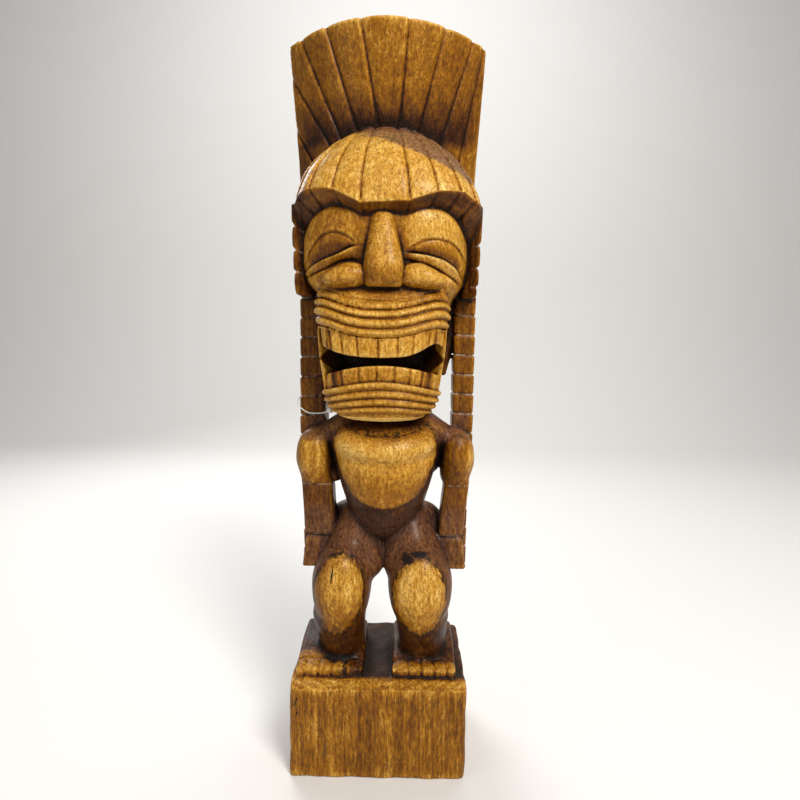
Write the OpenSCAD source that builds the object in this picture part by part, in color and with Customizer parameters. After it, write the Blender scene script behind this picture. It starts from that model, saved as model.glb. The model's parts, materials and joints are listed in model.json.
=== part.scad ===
// Carved wooden tiki figure on a square base: a squatting body, a large grimacing head,
// a grooved cap, a fluted crest and two banded locks of hair that hang free behind the jaw.
// Origin: middle of the base's underside. +Z up, the face looks along -Y, +X is the figure's left.
// Every carved region is a solid of its own that meets its neighbours face to face.

/* [Base] */
// Width of the base block
base_w = 119; // [114:1:126]
// Depth of the base block
base_d = 94; // [90:1:98]
// Height of the base block
base_h = 66; // [56:1:76]

/* [Body] */
// Height of a foot at the ankle
foot_h = 10; // [9:1:12]
// Height from ankle to waist
leg_h = 108; // [104:1:112]
// Distance between the middles of the two knees
knee_gap = 57; // [55:1:60]
// Height from waist to collar
torso_h = 46; // [44:1:50]
// Distance between the middles of the two arms
arm_gap = 102; // [101:1:104]

/* [Head] */
// Height of the neck between collar and chin
neck_h = 12; // [11:1:14]
// Height from chin to brow
face_h = 139; // [137:1:142]
// Height of the cap from brow to crown
cap_h = 57; // [54:1:60]
// Width of the cap at its brim
cap_w = 130; // [126:1:134]
// Height of the mouth's opening at the middle
mouth_h = 7; // [5:1:9]

/* [Hair] */
// Height of the crest above the crown
crest_h = 62; // [50:1:80]
// Width of the crest at its top
crest_w = 137; // [130:1:140]
// Width of a lock of hair
lock_w = 18; // [16:1:20]
// Height of one carved band on a lock
band_h = 13; // [10:1:20]

/* [Tag loop] */
// Thickness of the nylon thread
thread_d = 0.9; // [0.7:0.1:1.2]

/* [Hidden] */

RIGHT = -1; // the figure's right hand is on the -X side
LEFT = 1;
back_y = 50; // the rearmost point, the back of the crest
ankle_z = base_h + foot_h;
waist_z = ankle_z + leg_h;
collar_z = waist_z + torso_h;
chin_z = collar_z + neck_h;
mouth_z = chin_z + 40;
nose_z = chin_z + 89; // underside of the nose
brow_z = chin_z + face_h;
crown_z = brow_z + cap_h;
top_z = crown_z + crest_h;
elbow_z = waist_z + 10;
wrist_z = waist_z - 26;
lock_bottom_z = waist_z - 53;
lock_y = 17; // middle of a lock, behind the jaw
lock_x = 55;
skin_n = 28; // points round a skin's ring
ball_n = 18; // facets round a ball

// ---------- helpers ----------

// One ring of a skin at height z: an oval from front to back, squarer as sq grows past 2.
// bow lifts its sides, flute sinks every fourth point of its front and notch lifts those points.
function ring(z, half_w, front, back, sq = 2.3, mid_x = 0, bow = 0, flute = 0, notch = 0, n = skin_n) = [
    for (i = [0:n - 1])
        let (
            a = 360 * i / n,
            x = sign(cos(a)) * pow(abs(cos(a)), 2 / sq),
            y = sign(sin(a)) * pow(abs(sin(a)), 2 / sq),
            cut = i % 4 == 1 ? (y < 0.3 ? 1 : 0) : 0,
            sunk = 1 - cut * flute / half_w
        )
        [mid_x + x * half_w * sunk,
         (front + back) / 2 + (back - front) / 2 * y * sunk,
         z + bow * x * x + cut * notch]
];

function middle(points) = [for (k = [0:2]) [for (p = points) p[k]] * [for (p = points) 1 / len(points)]];

// A closed solid through rings given from the lowest to the highest.
module skin(rings) {
    n = len(rings[0]);
    last = len(rings) - 1;
    foot_i = n * (last + 1);
    polyhedron(
        concat([for (r = rings) each r], [middle(rings[0]), middle(rings[last])]),
        concat(
            [for (i = [0:n - 1]) [foot_i, i, (i + 1) % n]],
            [for (k = [0:last - 1], i = [0:n - 1])
                let (j = (i + 1) % n)
                each [
                    [k * n + i, (k + 1) * n + i, (k + 1) * n + j],
                    [k * n + i, (k + 1) * n + j, k * n + j]
                ]],
            [for (i = [0:n - 1]) [foot_i + 1, last * n + (i + 1) % n, last * n + i]]
        ),
        convexity = 6
    );
}

module ball(at, size, n = ball_n) {
    translate(at) scale(size) sphere(r = 1, $fn = n);
}

module disc(at, size, h = 1) {
    translate(at) scale([size[0], size[1], 1]) cylinder(r = 1, h = h, $fn = 24);
}

// The first child with the other children cut away, as one mesh.
module carve() {
    resize([0, 0, 0]) difference() {
        children(0);
        children([1:$children - 1]);
    }
}

module mirrored(side) {
    mirror([side < 0 ? 1 : 0, 0, 0]) children();
}

// A groove of that half width from point a to point b.
module groove(a, b, r) {
    hull() {
        translate(a) sphere(r = r, $fn = 6);
        translate(b) sphere(r = r, $fn = 6);
    }
}

// ---------- base ----------

function base_ring(z, worn) =
    ring(z, base_w / 2 - worn, -base_d / 2 + worn, base_d / 2 - worn, 12, n = 40);

module base_block() {
    worn_h = 4; // height of the worn upper edge
    color("peru") {
        linear_extrude(base_h - worn_h) polygon([for (p = base_ring(0, 0)) [p[0], p[1]]]);
        skin([base_ring(base_h - worn_h, 0), base_ring(base_h - 1, 0.8), base_ring(base_h, 2.4)]);
    }
}

// ---------- legs ----------

// The left half of the lower body is drawn on +X and mirrored for the right.
module foot(side) {
    toe_w = 8.6;
    color("saddlebrown") mirrored(side) union() {
        hull() {
            disc([30, -3, base_h], [19, 19], foot_h);
            disc([32, -20, base_h], [22, 10], foot_h - 4);
        }
        for (i = [0:4]) hull() {
            ball([14.5 + i * toe_w, -31 + abs(i - 1), base_h + 3], [4, 7, 3.5], 10);
            disc([14.5 + i * toe_w, -31 + abs(i - 1), base_h], [4, 7], 1);
        }
    }
}

module shin_shape() {
    hull() {
        disc([28, -6, ankle_z], [15.5, 17]);
        ball([knee_gap / 2, -17, ankle_z + 28], [19, 19, 18]);
    }
}

module thigh_shape() {
    hull() {
        ball([knee_gap / 2 - 0.5, -24, ankle_z + 49], [19, 21, 27]);
        ball([23, 3, ankle_z + 75], [22, 21, 17]);
    }
}

module shin(side) {
    color("sienna") mirrored(side) carve() {
        shin_shape();
        thigh_shape();
    }
}

module thigh(side) {
    color("peru") mirrored(side) carve() {
        thigh_shape();
        translate([-20, -60, 0]) cube([22.5, 120, crown_z]);
    }
}

module pelvis() {
    color("saddlebrown") carve() {
        skin([
            ring(ankle_z + 60, 8, -10, 18),
            ring(ankle_z + 72, 24, -16, 24),
            ring(ankle_z + 88, 30, -27, 26),
            ring(ankle_z + 98, 27, -31, 24),
            ring(waist_z, 25, -32, 22)
        ]);
        for (side = [RIGHT, LEFT]) mirrored(side) thigh_shape();
    }
}

// ---------- trunk and arms ----------

module torso_shape() {
    skin([
        ring(waist_z, 25, -32, 22),
        ring(waist_z + 4, 26.5, -37, 22),
        ring(waist_z + 18, 29, -40, 23),
        ring(waist_z + 25, 32, -40, 24),
        ring(waist_z + 34, 35.5, -39, 25),
        ring(collar_z - 5, 38, -36, 25),
        ring(collar_z, 36, -30, 25)
    ]);
}

module torso() {
    color("goldenrod") torso_shape();
}

module upper_arm_shape() {
    hull() {
        ball([arm_gap / 2 - 1, 0, collar_z - 14], [12.5, 15, 20]);
        disc([arm_gap / 2 + 0.5, 0, elbow_z], [10.5, 12.5]);
    }
}

module upper_arm(side) {
    color("peru") mirrored(side) carve() {
        upper_arm_shape();
        torso_shape();
    }
}

module forearm_shape() {
    hull() {
        disc([arm_gap / 2 + 0.5, 0, elbow_z - 1], [9.5, 11.5]);
        disc([arm_gap / 2, 2, wrist_z], [7.5, 10]);
    }
}

module forearm(side) {
    color("sienna") mirrored(side) carve() {
        forearm_shape();
        thigh_shape();
    }
}

module hand_shape() {
    hull() {
        disc([arm_gap / 2, 2, wrist_z - 1], [7, 10]);
        disc([arm_gap / 2 + 2, 3, wrist_z - 16], [8.5, 12]);
        disc([arm_gap / 2 + 1.5, 4, wrist_z - 27], [5.5, 10]);
    }
}

module hand(side) {
    color("saddlebrown") mirrored(side) carve() {
        hand_shape();
        thigh_shape();
    }
}

module shoulders_shape() {
    hull() {
        disc([0, 2, chin_z + 4], [27, 24]);
        for (side = [RIGHT, LEFT]) ball([side * 44, 2, collar_z - 5], [9, 12, 9]);
    }
    skin([ring(chin_z, 26, -22, 26), ring(chin_z + 18, 26, -18, 32)]);
}

module shoulders() {
    color("sienna") carve() {
        shoulders_shape();
        torso_shape();
        for (side = [RIGHT, LEFT]) mirrored(side) upper_arm_shape();
        chin_shape();
        head_shape();
    }
}

// ---------- face ----------

module head_shape() {
    skin([
        ring(chin_z + 14, 28, -14, 32),
        ring(chin_z + 30, 38, -18, 38),
        ring(mouth_z + 4, 42, -20, 40),
        ring(nose_z - 12, 44, -28, 41),
        ring(nose_z - 4, 47, -30, 41, 2.6),
        ring(nose_z + 2, 53, -33, 41, 2.8),
        ring(nose_z + 16, 57, -37, 41, 2.8),
        ring(nose_z + 32, 57, -40, 41, 2.8),
        ring(brow_z - 6, 54, -39, 41, 2.7),
        ring(brow_z + 14, 47, -32, 41),
        ring(brow_z + 28, 32, -22, 39)
    ]);
}

module head() {
    color("goldenrod") head_shape();
}

// A closed eye: a lid that swells from the face, cut off below by a slanting crease.
module eye_shape() {
    difference() {
        ball([35, -29, nose_z + 17], [21, 15, 19]);
        translate([14, -60, nose_z + 26]) rotate([0, 24, 0]) translate([-20, 0, -40]) cube([80, 60, 40]);
    }
}

module eye(side) {
    color("goldenrod") mirrored(side) carve() {
        eye_shape();
        head_shape();
        side_hair_shape();
    }
}

module nose_shape() {
    hull() {
        ball([0, -36, brow_z - 8], [6.5, 6, 6]);
        ball([0, -38, nose_z + 9], [12, 12, 9]);
    }
    for (side = [RIGHT, LEFT]) hull() {
        ball([side * 14, -36, nose_z + 7], [7, 9, 7.5], 14);
        ball([side * 29, -33, nose_z + 6], [6.5, 7, 5.5], 14);
    }
}

module nose() {
    color("goldenrod") carve() {
        nose_shape();
        head_shape();
        for (side = [RIGHT, LEFT]) mirrored(side) eye_shape();
    }
}

// The upper lip hangs in folds that bow down across the face.
module upper_lip_shape() {
    fold_n = 4;
    fold_h = 6.6;
    bow = 11;
    skin([
        ring(mouth_z + 15, 41, -42, 6, 2.6, bow = bow),
        for (k = [0:fold_n - 1])
            let (z = mouth_z + 18 + k * fold_h, w = 46 + sin(k * 60), y = -49 + k)
            each [
                ring(z - 1, w - 3, y + 3, 8, 2.6, bow = bow),
                ring(z + 0.8, w, y, 8, 2.6, bow = bow),
                ring(z + fold_h - 2.6, w, y, 8, 2.6, bow = bow)
            ],
        ring(nose_z - 6, 40, -38, 8, 2.6, bow = bow)
    ]);
}

module upper_lip() {
    color("goldenrod") carve() {
        upper_lip_shape();
        head_shape();
        nose_shape();
        for (side = [RIGHT, LEFT]) mirrored(side) eye_shape();
    }
}

// A row of teeth, with a groove at every fourth point of its front.
module upper_teeth() {
    z = mouth_z + mouth_h / 2;
    color("wheat") carve() {
        skin([
            ring(z, 39, -44, 4, 2.5, bow = 9, flute = 1),
            ring(z + 1.2, 40, -46, 4, 2.5, bow = 9, flute = 1.2),
            ring(mouth_z + 20, 41, -45, 4, 2.5, bow = 9, flute = 0.6)
        ]);
        head_shape();
        upper_lip_shape();
    }
}

module lower_teeth() {
    z = mouth_z - mouth_h / 2;
    color("wheat") carve() {
        skin([
            ring(chin_z + 20, 35, -42, 2, 2.5, bow = -6, flute = 0.6),
            ring(z - 1.2, 37, -43, 2, 2.5, bow = -6, flute = 1.2),
            ring(z, 36, -41, 2, 2.5, bow = -6, flute = 1)
        ]);
        head_shape();
        chin_shape();
    }
}

module chin_shape() {
    fold_n = 5;
    fold_h = 5.2;
    bow = -5;
    skin([
        ring(chin_z, 26, -33, 0, bow = 1),
        for (k = [0:fold_n - 1])
            let (z = chin_z + 2 + k * fold_h, w = 28 + 2.9 * k - 0.2 * k * k, y = -39 - 4 * sin(k * 30))
            each [
                ring(z, w, y, 2, bow = bow),
                ring(z + fold_h - 2.2, w + 1, y - 0.4, 2, bow = bow),
                ring(z + fold_h - 1, w - 1, y + 2, 2, bow = bow)
            ]
    ]);
}

module chin() {
    color("goldenrod") carve() {
        chin_shape();
        head_shape();
    }
}

// ---------- hair ----------

module cap_shape() {
    half_w = cap_w / 2;
    flute = 1.6;
    skin([
        ring(brow_z - 3, half_w - 4, -42, 42, 2.6, bow = 4, n = 48, notch = 2),
        ring(brow_z + 1, half_w, -47.5, 42, 2.5, bow = 4, n = 48, flute = flute, notch = 2),
        ring(brow_z + 14, half_w - 3, -46, 42, 2.4, bow = 2, n = 48, flute = flute),
        ring(brow_z + 28, half_w - 9, -40, 42, 2.3, n = 48, flute = flute),
        ring(brow_z + 40, half_w - 20, -31, 42, 2.2, n = 48, flute = flute),
        ring(brow_z + 50, half_w - 33, -22, 40, 2.1, n = 48, flute = 1.2),
        ring(crown_z, half_w - 47, -14, 36, 2, n = 48, flute = 1)
    ]);
}

module cap() {
    color("goldenrod") carve() {
        cap_shape();
        head_shape();
    }
}

module side_hair_shape() {
    skin([
        ring(nose_z - 6, 4, -9, 6, mid_x = 57, n = 20),
        ring(nose_z - 2, 6, -12, 8, mid_x = 57, n = 20),
        ring(nose_z + 22, 7, -16, 12, mid_x = 57, n = 20),
        ring(brow_z - 1, 8, -22, 14, mid_x = 56.5, n = 20)
    ]);
}

module side_hair(side) {
    color("saddlebrown") mirrored(side) carve() {
        side_hair_shape();
        head_shape();
        lock_shape();
        cap_shape();
        for (z = [nose_z + 8:15:brow_z - 8]) groove([42, -24, z], [68, -14, z], 1.2);
    }
}

module crest_shape() {
    half_w = crest_w / 2;
    flute = 1.6;
    skin([
        ring(brow_z + 12, half_w - 6, 0, back_y - 2, 2.2, n = 60),
        ring(crown_z - 8, half_w - 4.5, -6, back_y - 1, 1.9, n = 60, flute = flute),
        ring(crown_z + 2, half_w - 3.5, -12, back_y, 1.8, n = 60, flute = flute),
        ring(crown_z + crest_h / 2, half_w - 2, -22, back_y, 2.1, n = 60, flute = flute),
        ring(top_z - 2, half_w, -32, back_y, 2.3, n = 60, flute = flute),
        ring(top_z, half_w - 1.6, -30.5, back_y - 1, 2.3, n = 60, flute = flute)
    ]);
}

module crest() {
    color("chocolate") carve() {
        crest_shape();
        cap_shape();
        head_shape();
    }
}

// A lock hangs from the crest to the hip, with a shallow groove between its bands.
module lock_shape() {
    band_n = floor((brow_z + 12 - lock_bottom_z) / band_h);
    half_w = lock_w / 2;
    skin([
        for (k = [0:band_n - 1])
            let (z = lock_bottom_z + k * band_h)
            each [
                ring(z, half_w - 0.9, lock_y - 10, lock_y + 10, 2.8, lock_x, n = 16),
                ring(z + 1.2, half_w, lock_y - 11, lock_y + 11, 2.8, lock_x, n = 16),
                ring(z + band_h - 1.2, half_w, lock_y - 11, lock_y + 11, 2.8, lock_x, n = 16)
            ],
        ring(brow_z + 12, half_w, lock_y - 11, lock_y + 11, 2.8, lock_x, n = 16)
    ]);
}

module lock(side) {
    color("saddlebrown") mirrored(side) carve() {
        lock_shape();
        upper_arm_shape();
        forearm_shape();
        hand_shape();
        head_shape();
        thigh_shape();
        cap_shape();
        shoulders_shape();
    }
}

// ---------- tag loop ----------

// The thread leaves the clasp's foot, goes round the right lock and comes back to the clasp's top.
clasp_d = 4.4;
clasp_at = [-39.5, -7, 247];
thread_route = [
    [-41.8, -6.4, 245.9], [-44, -5, 245], [-48, 0, 244], [-52, 3.5, 243.5], [-57, 4.2, 244],
    [-62, 4.6, 247], [-65.6, 8, 250], [-66.2, 14, 252], [-66.2, 20, 253], [-65.4, 26, 254],
    [-61, 30, 254.5], [-55, 30.5, 254.5], [-49, 30, 254], [-45, 26.5, 253], [-44, 20, 252],
    [-43.8, 12, 251], [-43.4, 5, 250], [-42.4, -1, 249.5], [-41.3, -5.4, 248.9]
];

// A tube of round section through the points, closed at both ends.
module tube(points, r, n = 8) {
    last = len(points) - 1;
    function unit(v) = v / norm(v);
    function along(i) = unit(points[min(i + 1, last)] - points[max(i - 1, 0)]);
    rings = [
        for (i = [0:last])
            let (t = along(i), u = unit(cross(t, [0, 0, 1])), v = cross(t, u))
            for (k = [0:n - 1]) points[i] + r * (cos(360 * k / n) * u + sin(360 * k / n) * v)
    ];
    polyhedron(rings, concat(
        [[for (k = [n - 1:-1:0]) k]],
        [for (i = [0:last - 1], k = [0:n - 1])
            let (j = (k + 1) % n)
            [i * n + k, i * n + j, (i + 1) * n + j, (i + 1) * n + k]],
        [[for (k = [0:n - 1]) last * n + k]]
    ));
}

module tag_thread() {
    color("white") tube(thread_route, thread_d / 2);
}

module tag_clasp() {
    color("white") translate(clasp_at) sphere(d = clasp_d, $fn = 24);
}

base_block();
foot(RIGHT);  // right_foot
foot(LEFT);  // left_foot
shin(RIGHT);  // right_shin
shin(LEFT);  // left_shin
thigh(RIGHT);  // right_thigh
thigh(LEFT);  // left_thigh
pelvis();
torso();
shoulders();
upper_arm(RIGHT);  // right_upper_arm
upper_arm(LEFT);  // left_upper_arm
forearm(RIGHT);  // right_forearm
forearm(LEFT);  // left_forearm
hand(RIGHT);  // right_hand
hand(LEFT);  // left_hand
head();
eye(RIGHT);  // right_eye
eye(LEFT);  // left_eye
nose();
upper_lip();
upper_teeth();
lower_teeth();
chin();
cap();
side_hair(RIGHT);  // right_side_hair
side_hair(LEFT);  // left_side_hair
crest();
lock(RIGHT);  // right_lock
lock(LEFT);  // left_lock
tag_thread();
tag_clasp();
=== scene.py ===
import json
import math

import bmesh
import bpy
import numpy as np
from mathutils import Matrix, Vector


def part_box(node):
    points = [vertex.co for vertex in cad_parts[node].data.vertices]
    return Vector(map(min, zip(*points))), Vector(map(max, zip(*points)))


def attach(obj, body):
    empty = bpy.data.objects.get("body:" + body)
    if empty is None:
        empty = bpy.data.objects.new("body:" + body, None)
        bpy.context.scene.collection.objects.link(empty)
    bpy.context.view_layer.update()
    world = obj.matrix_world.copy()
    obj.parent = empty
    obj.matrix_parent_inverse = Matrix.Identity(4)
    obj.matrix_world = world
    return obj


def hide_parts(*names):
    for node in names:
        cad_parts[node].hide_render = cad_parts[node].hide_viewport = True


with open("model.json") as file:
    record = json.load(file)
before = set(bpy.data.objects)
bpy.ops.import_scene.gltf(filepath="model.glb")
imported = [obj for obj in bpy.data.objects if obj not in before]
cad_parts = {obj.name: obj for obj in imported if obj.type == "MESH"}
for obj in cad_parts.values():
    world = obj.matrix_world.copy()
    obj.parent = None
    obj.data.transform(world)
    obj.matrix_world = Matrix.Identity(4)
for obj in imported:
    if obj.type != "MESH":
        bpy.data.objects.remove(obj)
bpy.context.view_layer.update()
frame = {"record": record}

# The figure is sculpted here as one signed field in millimetres, in the frame's axes: X across,
# Y from front (-) to back (+), Z up. Every carved region has its own function that returns the
# distance to its surface, negative inside. The regions are blended into one skin, which is then
# cut back into one closed mesh per CAD node, so neighbours share their edge without a gap.

MM = 0.001
COARSE = 1.0  # stretches the grid that the sculpture is sampled on
MARGIN = 3.0
FAR = 30  # the field's value where no region is near
GRID_GAP = 0.8  # about how far apart the grid's planes are at the front
RIGHT, LEFT = -1, 1  # the figure's right hand is on the -X side
SIDES = {"right": RIGHT, "left": LEFT}


# ---------- landmarks, read from the frame ----------

def low(node, axis=2):
    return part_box(node)[0][axis] / MM


def high(node, axis=2):
    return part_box(node)[1][axis] / MM


BASE_W = high("base_block", 0) - low("base_block", 0)
BASE_D = high("base_block", 1) - low("base_block", 1)
BASE_Z = high("base_block")
ANKLE_Z = low("right_shin")
WAIST_Z = low("torso")
COLLAR_Z = high("torso")
CHIN_Z = low("chin") + 3  # the front of the chin ends a little over its underside
MOUTH_Z = (low("upper_teeth") + high("lower_teeth")) / 2
NOSE_Z = low("nose")
BROW_Z = high("right_side_hair") + 1
CROWN_Z = high("cap")
TOP_Z = high("crest")
BACK_Y = high("crest", 1)
ELBOW_Z = low("right_upper_arm")
WRIST_Z = low("right_forearm")
LOCK_Z = low("right_lock")
LOCK_Y = (low("left_lock", 1) + high("left_lock", 1)) / 2


# ---------- field tools ----------

def smooth_union(a, b, k):
    """Two bodies together, blended over k."""
    h = np.clip(0.5 + 0.5 * (b - a) / k, 0, 1)
    return b + (a - b) * h - k * h * (1 - h)


def smooth_cut(a, b, k):
    """The part of a that is also inside b, with an edge rounded over k."""
    return -smooth_union(-a, -b, k)


def smooth_cuts(body, *cuts):
    """Cuts a body with several fields in turn. Each cut is (field, rounding)."""
    for field, k in cuts:
        body = smooth_cut(body, field, k)
    return body


def ramp(x, start, end):
    """0 at start and before it, 1 at end and past it, smooth between. End may be the lower one."""
    t = np.clip((x - start) / (end - start), 0, 1)
    return t * t * (3 - 2 * t)


def span(x, start, full, fade, end):
    """1 from full to fade, and 0 before start and past end."""
    return ramp(x, start, full) * ramp(x, end, fade)


def flow(t, knots, values, soft=2.0):
    """Values that change smoothly along t, through knots."""
    offsets = (-soft, -soft / 2, 0, soft / 2, soft)
    return sum(np.interp(t + o, knots, values) for o in offsets) / len(offsets)


def groove(u, half_width):
    """1 in the middle of a groove, 0 past its half width."""
    return np.clip(1 - np.abs(u) / half_width, 0, 1)


def soft_groove(u, half_width):
    return np.exp(-((u / half_width) ** 2))


def ball(x, y, z, at, r):
    dx, dy, dz = x - at[0], y - at[1], z - at[2]
    k0 = np.sqrt((dx / r[0]) ** 2 + (dy / r[1]) ** 2 + (dz / r[2]) ** 2)
    k1 = np.sqrt((dx / r[0] ** 2) ** 2 + (dy / r[1] ** 2) ** 2 + (dz / r[2] ** 2) ** 2)
    return k0 * (k0 - 1) / np.maximum(k1, 1e-4)


def limb(x, y, z, a, b, ra, rb, depth=1.0):
    """A tapering limb from a to b. depth stretches it from front to back."""
    ay, by = a[1] / depth, b[1] / depth
    bx, bz = b[0] - a[0], b[2] - a[2]
    bey = by - ay
    px, py, pz = x - a[0], y / depth - ay, z - a[2]
    t = np.clip((px * bx + py * bey + pz * bz) / (bx * bx + bey * bey + bz * bz), 0, 1)
    dist = np.sqrt((px - t * bx) ** 2 + (py - t * bey) ** 2 + (pz - t * bz) ** 2)
    return dist - (ra + (rb - ra) * t)


def block(x, y, z, at, half, round_by):
    qx = np.abs(x - at[0]) - half[0] + round_by
    qy = np.abs(y - at[1]) - half[1] + round_by
    qz = np.abs(z - at[2]) - half[2] + round_by
    outside = np.sqrt(np.maximum(qx, 0) ** 2 + np.maximum(qy, 0) ** 2 + np.maximum(qz, 0) ** 2)
    return outside + np.minimum(np.maximum(np.maximum(qx, qy), qz), 0) - round_by


def loft(x, y, z, rings, mid_x=0.0, soft=2.0, end=3.0):
    """A body through oval rings of (z, half width, front y, back y, squareness)."""
    zs = [r[0] for r in rings]
    half_w, front, back, square = (flow(z, zs, [r[i] for r in rings], soft) for i in (1, 2, 3, 4))
    half_d = (back - front) / 2
    u = np.maximum(np.abs(x - mid_x) / half_w, 1e-3)
    v = np.maximum(np.abs(y - (front + back) / 2) / half_d, 1e-3)
    rho = (u ** square + v ** square) ** (1 / square)
    slope_u, slope_v = u ** (square - 1) / half_w, v ** (square - 1) / half_d
    slope = rho ** (1 - square) * np.sqrt(slope_u ** 2 + slope_v ** 2)
    body = (rho - 1) / np.maximum(slope, 1e-3)
    body = np.maximum(body, -np.minimum(half_w, half_d))
    return smooth_cuts(body, (z - zs[-1], end), (zs[0] - z, end))


def rings_over(base_z, rows, shared=()):
    """Rings for a loft, given by their height over base_z. shared is what every row ends with."""
    return [(base_z + height, *rest, *shared) for height, *rest in rows]


def hand_cut(x, y, z, size=0.35):
    """The slow unevenness that a hand-held gouge leaves, in millimetres."""
    wave = np.sin(x * 0.19 + z * 0.083 + 1.3) * np.sin(y * 0.17 - z * 0.061 + 0.4)
    return size * (wave + 0.5 * np.sin(x * 0.41 - y * 0.33 + z * 0.29))


# ---------- base and legs ----------

def base_block(x, y, z):
    """The block is sawn a little off the figure's middle, and its upright edges are rounded."""
    off_middle, round_by = 1.8, 6
    half_w, half_d = BASE_W / 2 + 0.8, BASE_D / 2
    x = x + off_middle
    body = block(x, y, z, (0, 0, BASE_Z / 2), (half_w, half_d, BASE_Z / 2), 2.2)
    past_x, past_y = (np.abs(v) - half + round_by for v, half in ((x, half_w), (y, half_d)))
    corner = np.hypot(np.maximum(past_x, 0), np.maximum(past_y, 0)) - round_by
    front_bevel = (z - BASE_Z + 3.5) * 0.92 - (y + half_d) * 0.4
    body = smooth_cut(body, corner, 2)
    body = smooth_cut(body, front_bevel, 1.5) + hand_cut(x, y, z, 0.3)
    return np.maximum(body, 0.02 - z)


def foot(side):
    mid_x, half_w = (36, 23) if side == RIGHT else (29.5, 22)
    toe_w = half_w * 0.4

    def shape(x, y, z):
        u = x * side - mid_x
        body = block(u, y, z, (0, -6, BASE_Z), (half_w, 30, 14), 3)
        slope = (z - BASE_Z - 6.2 - (y + 36) * 0.24) * 0.97 + 0.0012 * u * u
        body = smooth_cut(body, slope, 3)
        toes = ramp(y, -26.5, -28.5)
        toe_u = ((u + 0.12 * (y + 30)) / toe_w + 0.25) % 1.0 - 0.5
        rounding = 0.4 * ramp(np.abs(toe_u), 0.25, 0.5) + 0.7 * soft_groove(np.abs(toe_u) - 0.5, 0.07)
        instep = 0.8 * soft_groove(y + 26.3, 1.1)
        return body + toes * rounding + instep

    return shape


def shin(side):
    knee_x, knee_w = (30.6, 18.6) if side == RIGHT else (27.8, 18.9)

    def shape(x, y, z):
        u = x * side
        body = limb(u, y, z, (28.6, -9, ANKLE_Z), (knee_x, -18, ANKLE_Z + 28), 15.2, knee_w, 1.1)
        return body + 0.25 * np.sin(u * 0.5 + z * 0.22)

    return shape


def thigh(side):
    knee_x, knee_w = (28.8, 20.2) if side == RIGHT else (26.2, 21.8)

    def shape(x, y, z):
        u = x * side
        knee = ball(u, y, z, (knee_x, -24, ANKLE_Z + 49), (knee_w, 20.5, 31))
        over_knee = (knee_x - 0.5, -17, ANKLE_Z + 56)
        hip = limb(u, y, z, over_knee, (17, -3, ANKLE_Z + 92), knee_w - 0.9, 15, 1.05)
        inner = limb(u, y, z, (12.2, -15, ANKLE_Z + 65), (15, 4, ANKLE_Z + 92), 12.6, 17)
        front = smooth_union(smooth_union(knee, hip, 6), inner, 4)
        seat = ball(u, y, z, (26, 12, ANKLE_Z + 79), (20, 18, 23))
        return smooth_union(front, seat, 2)

    return shape


# ---------- trunk ----------

TRUNK = rings_over(WAIST_Z, (
    (-26, 10, -17, 26, 2.1),
    (-20, 16, -25, 27, 2.1),
    (-10, 23.5, -32, 27, 2.1),
    (0, 28, -36.5, 25, 2.1),
    (10, 31, -38.5, 24, 2.1),
    (20, 33.8, -39.2, 24, 2.1),
    (28, 35.5, -39.4, 25, 2.1),
    (36, 37.5, -41.2, 26, 2.1),
    (44, 38.5, -40, 26, 2.2),
    (50, 38, -35, 26, 2.2),
    (57, 30, -24, 26, 2.2),
))


def trunk(x, y, z):
    crease_z = COLLAR_Z - 16 + 0.004 * x * x
    body = loft(x, y, z, TRUNK, mid_x=0.6, soft=3, end=4)
    pectorals = -0.9 * soft_groove(z - crease_z - 9, 6) + 1.9 * soft_groove(z - crease_z, 4)
    belly = -0.8 * soft_groove(z - WAIST_Z - 14, 9)
    spine = 1.6 * soft_groove(x, 2.6) - 0.8 * soft_groove(np.abs(x) - 9, 5)
    return body + ramp(y, -10, -28) * (pectorals + belly) + ramp(y, 10, 20) * spine


def pelvis(x, y, z):
    return np.maximum(trunk(x, y, z), z - WAIST_Z)


def torso(x, y, z):
    return np.maximum(trunk(x, y, z), WAIST_Z - z)


def shoulders(x, y, z):
    u = np.abs(x)
    slope = limb(u, y, z, (20, 2, COLLAR_Z + 9), (47, 2, COLLAR_Z - 3), 12.5, 7.5, 1.5)
    neck_rows = (-16, 30, -20, 26), (-3, 27, -21, 27), (6, 25, -19, 30), (24, 26, -12, 32)
    neck = loft(x, y, z, rings_over(CHIN_Z, neck_rows, (2.2,)))
    back = ball(u, y, z, (20, 10, COLLAR_Z - 10), (24, 18, 26))
    return smooth_union(smooth_union(slope, neck, 6), back, 6)


def upper_arm(side):
    mid_x, half_w = (50.6, 13.2) if side == RIGHT else (51.4, 12.2)

    def shape(x, y, z):
        u = x * side
        round_part = ball(u, y, z, (mid_x, -2, COLLAR_Z - 14), (half_w, 15, 18.5))
        top, bottom = (mid_x, -1, COLLAR_Z - 20), (mid_x - 1, -1, ELBOW_Z + 8)
        taper = limb(u, y, z, top, bottom, half_w - 0.8, half_w - 1.4, 1.08)
        body = smooth_union(round_part, taper, 4)
        if side == RIGHT:
            armpit = ball(u, y, z, (36, 2, ELBOW_Z + 7), (5, 9, 8))
            body = smooth_union(body, armpit, 3)
        return smooth_cut(body, ELBOW_Z + 1 - z, 1.2)

    return shape


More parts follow.
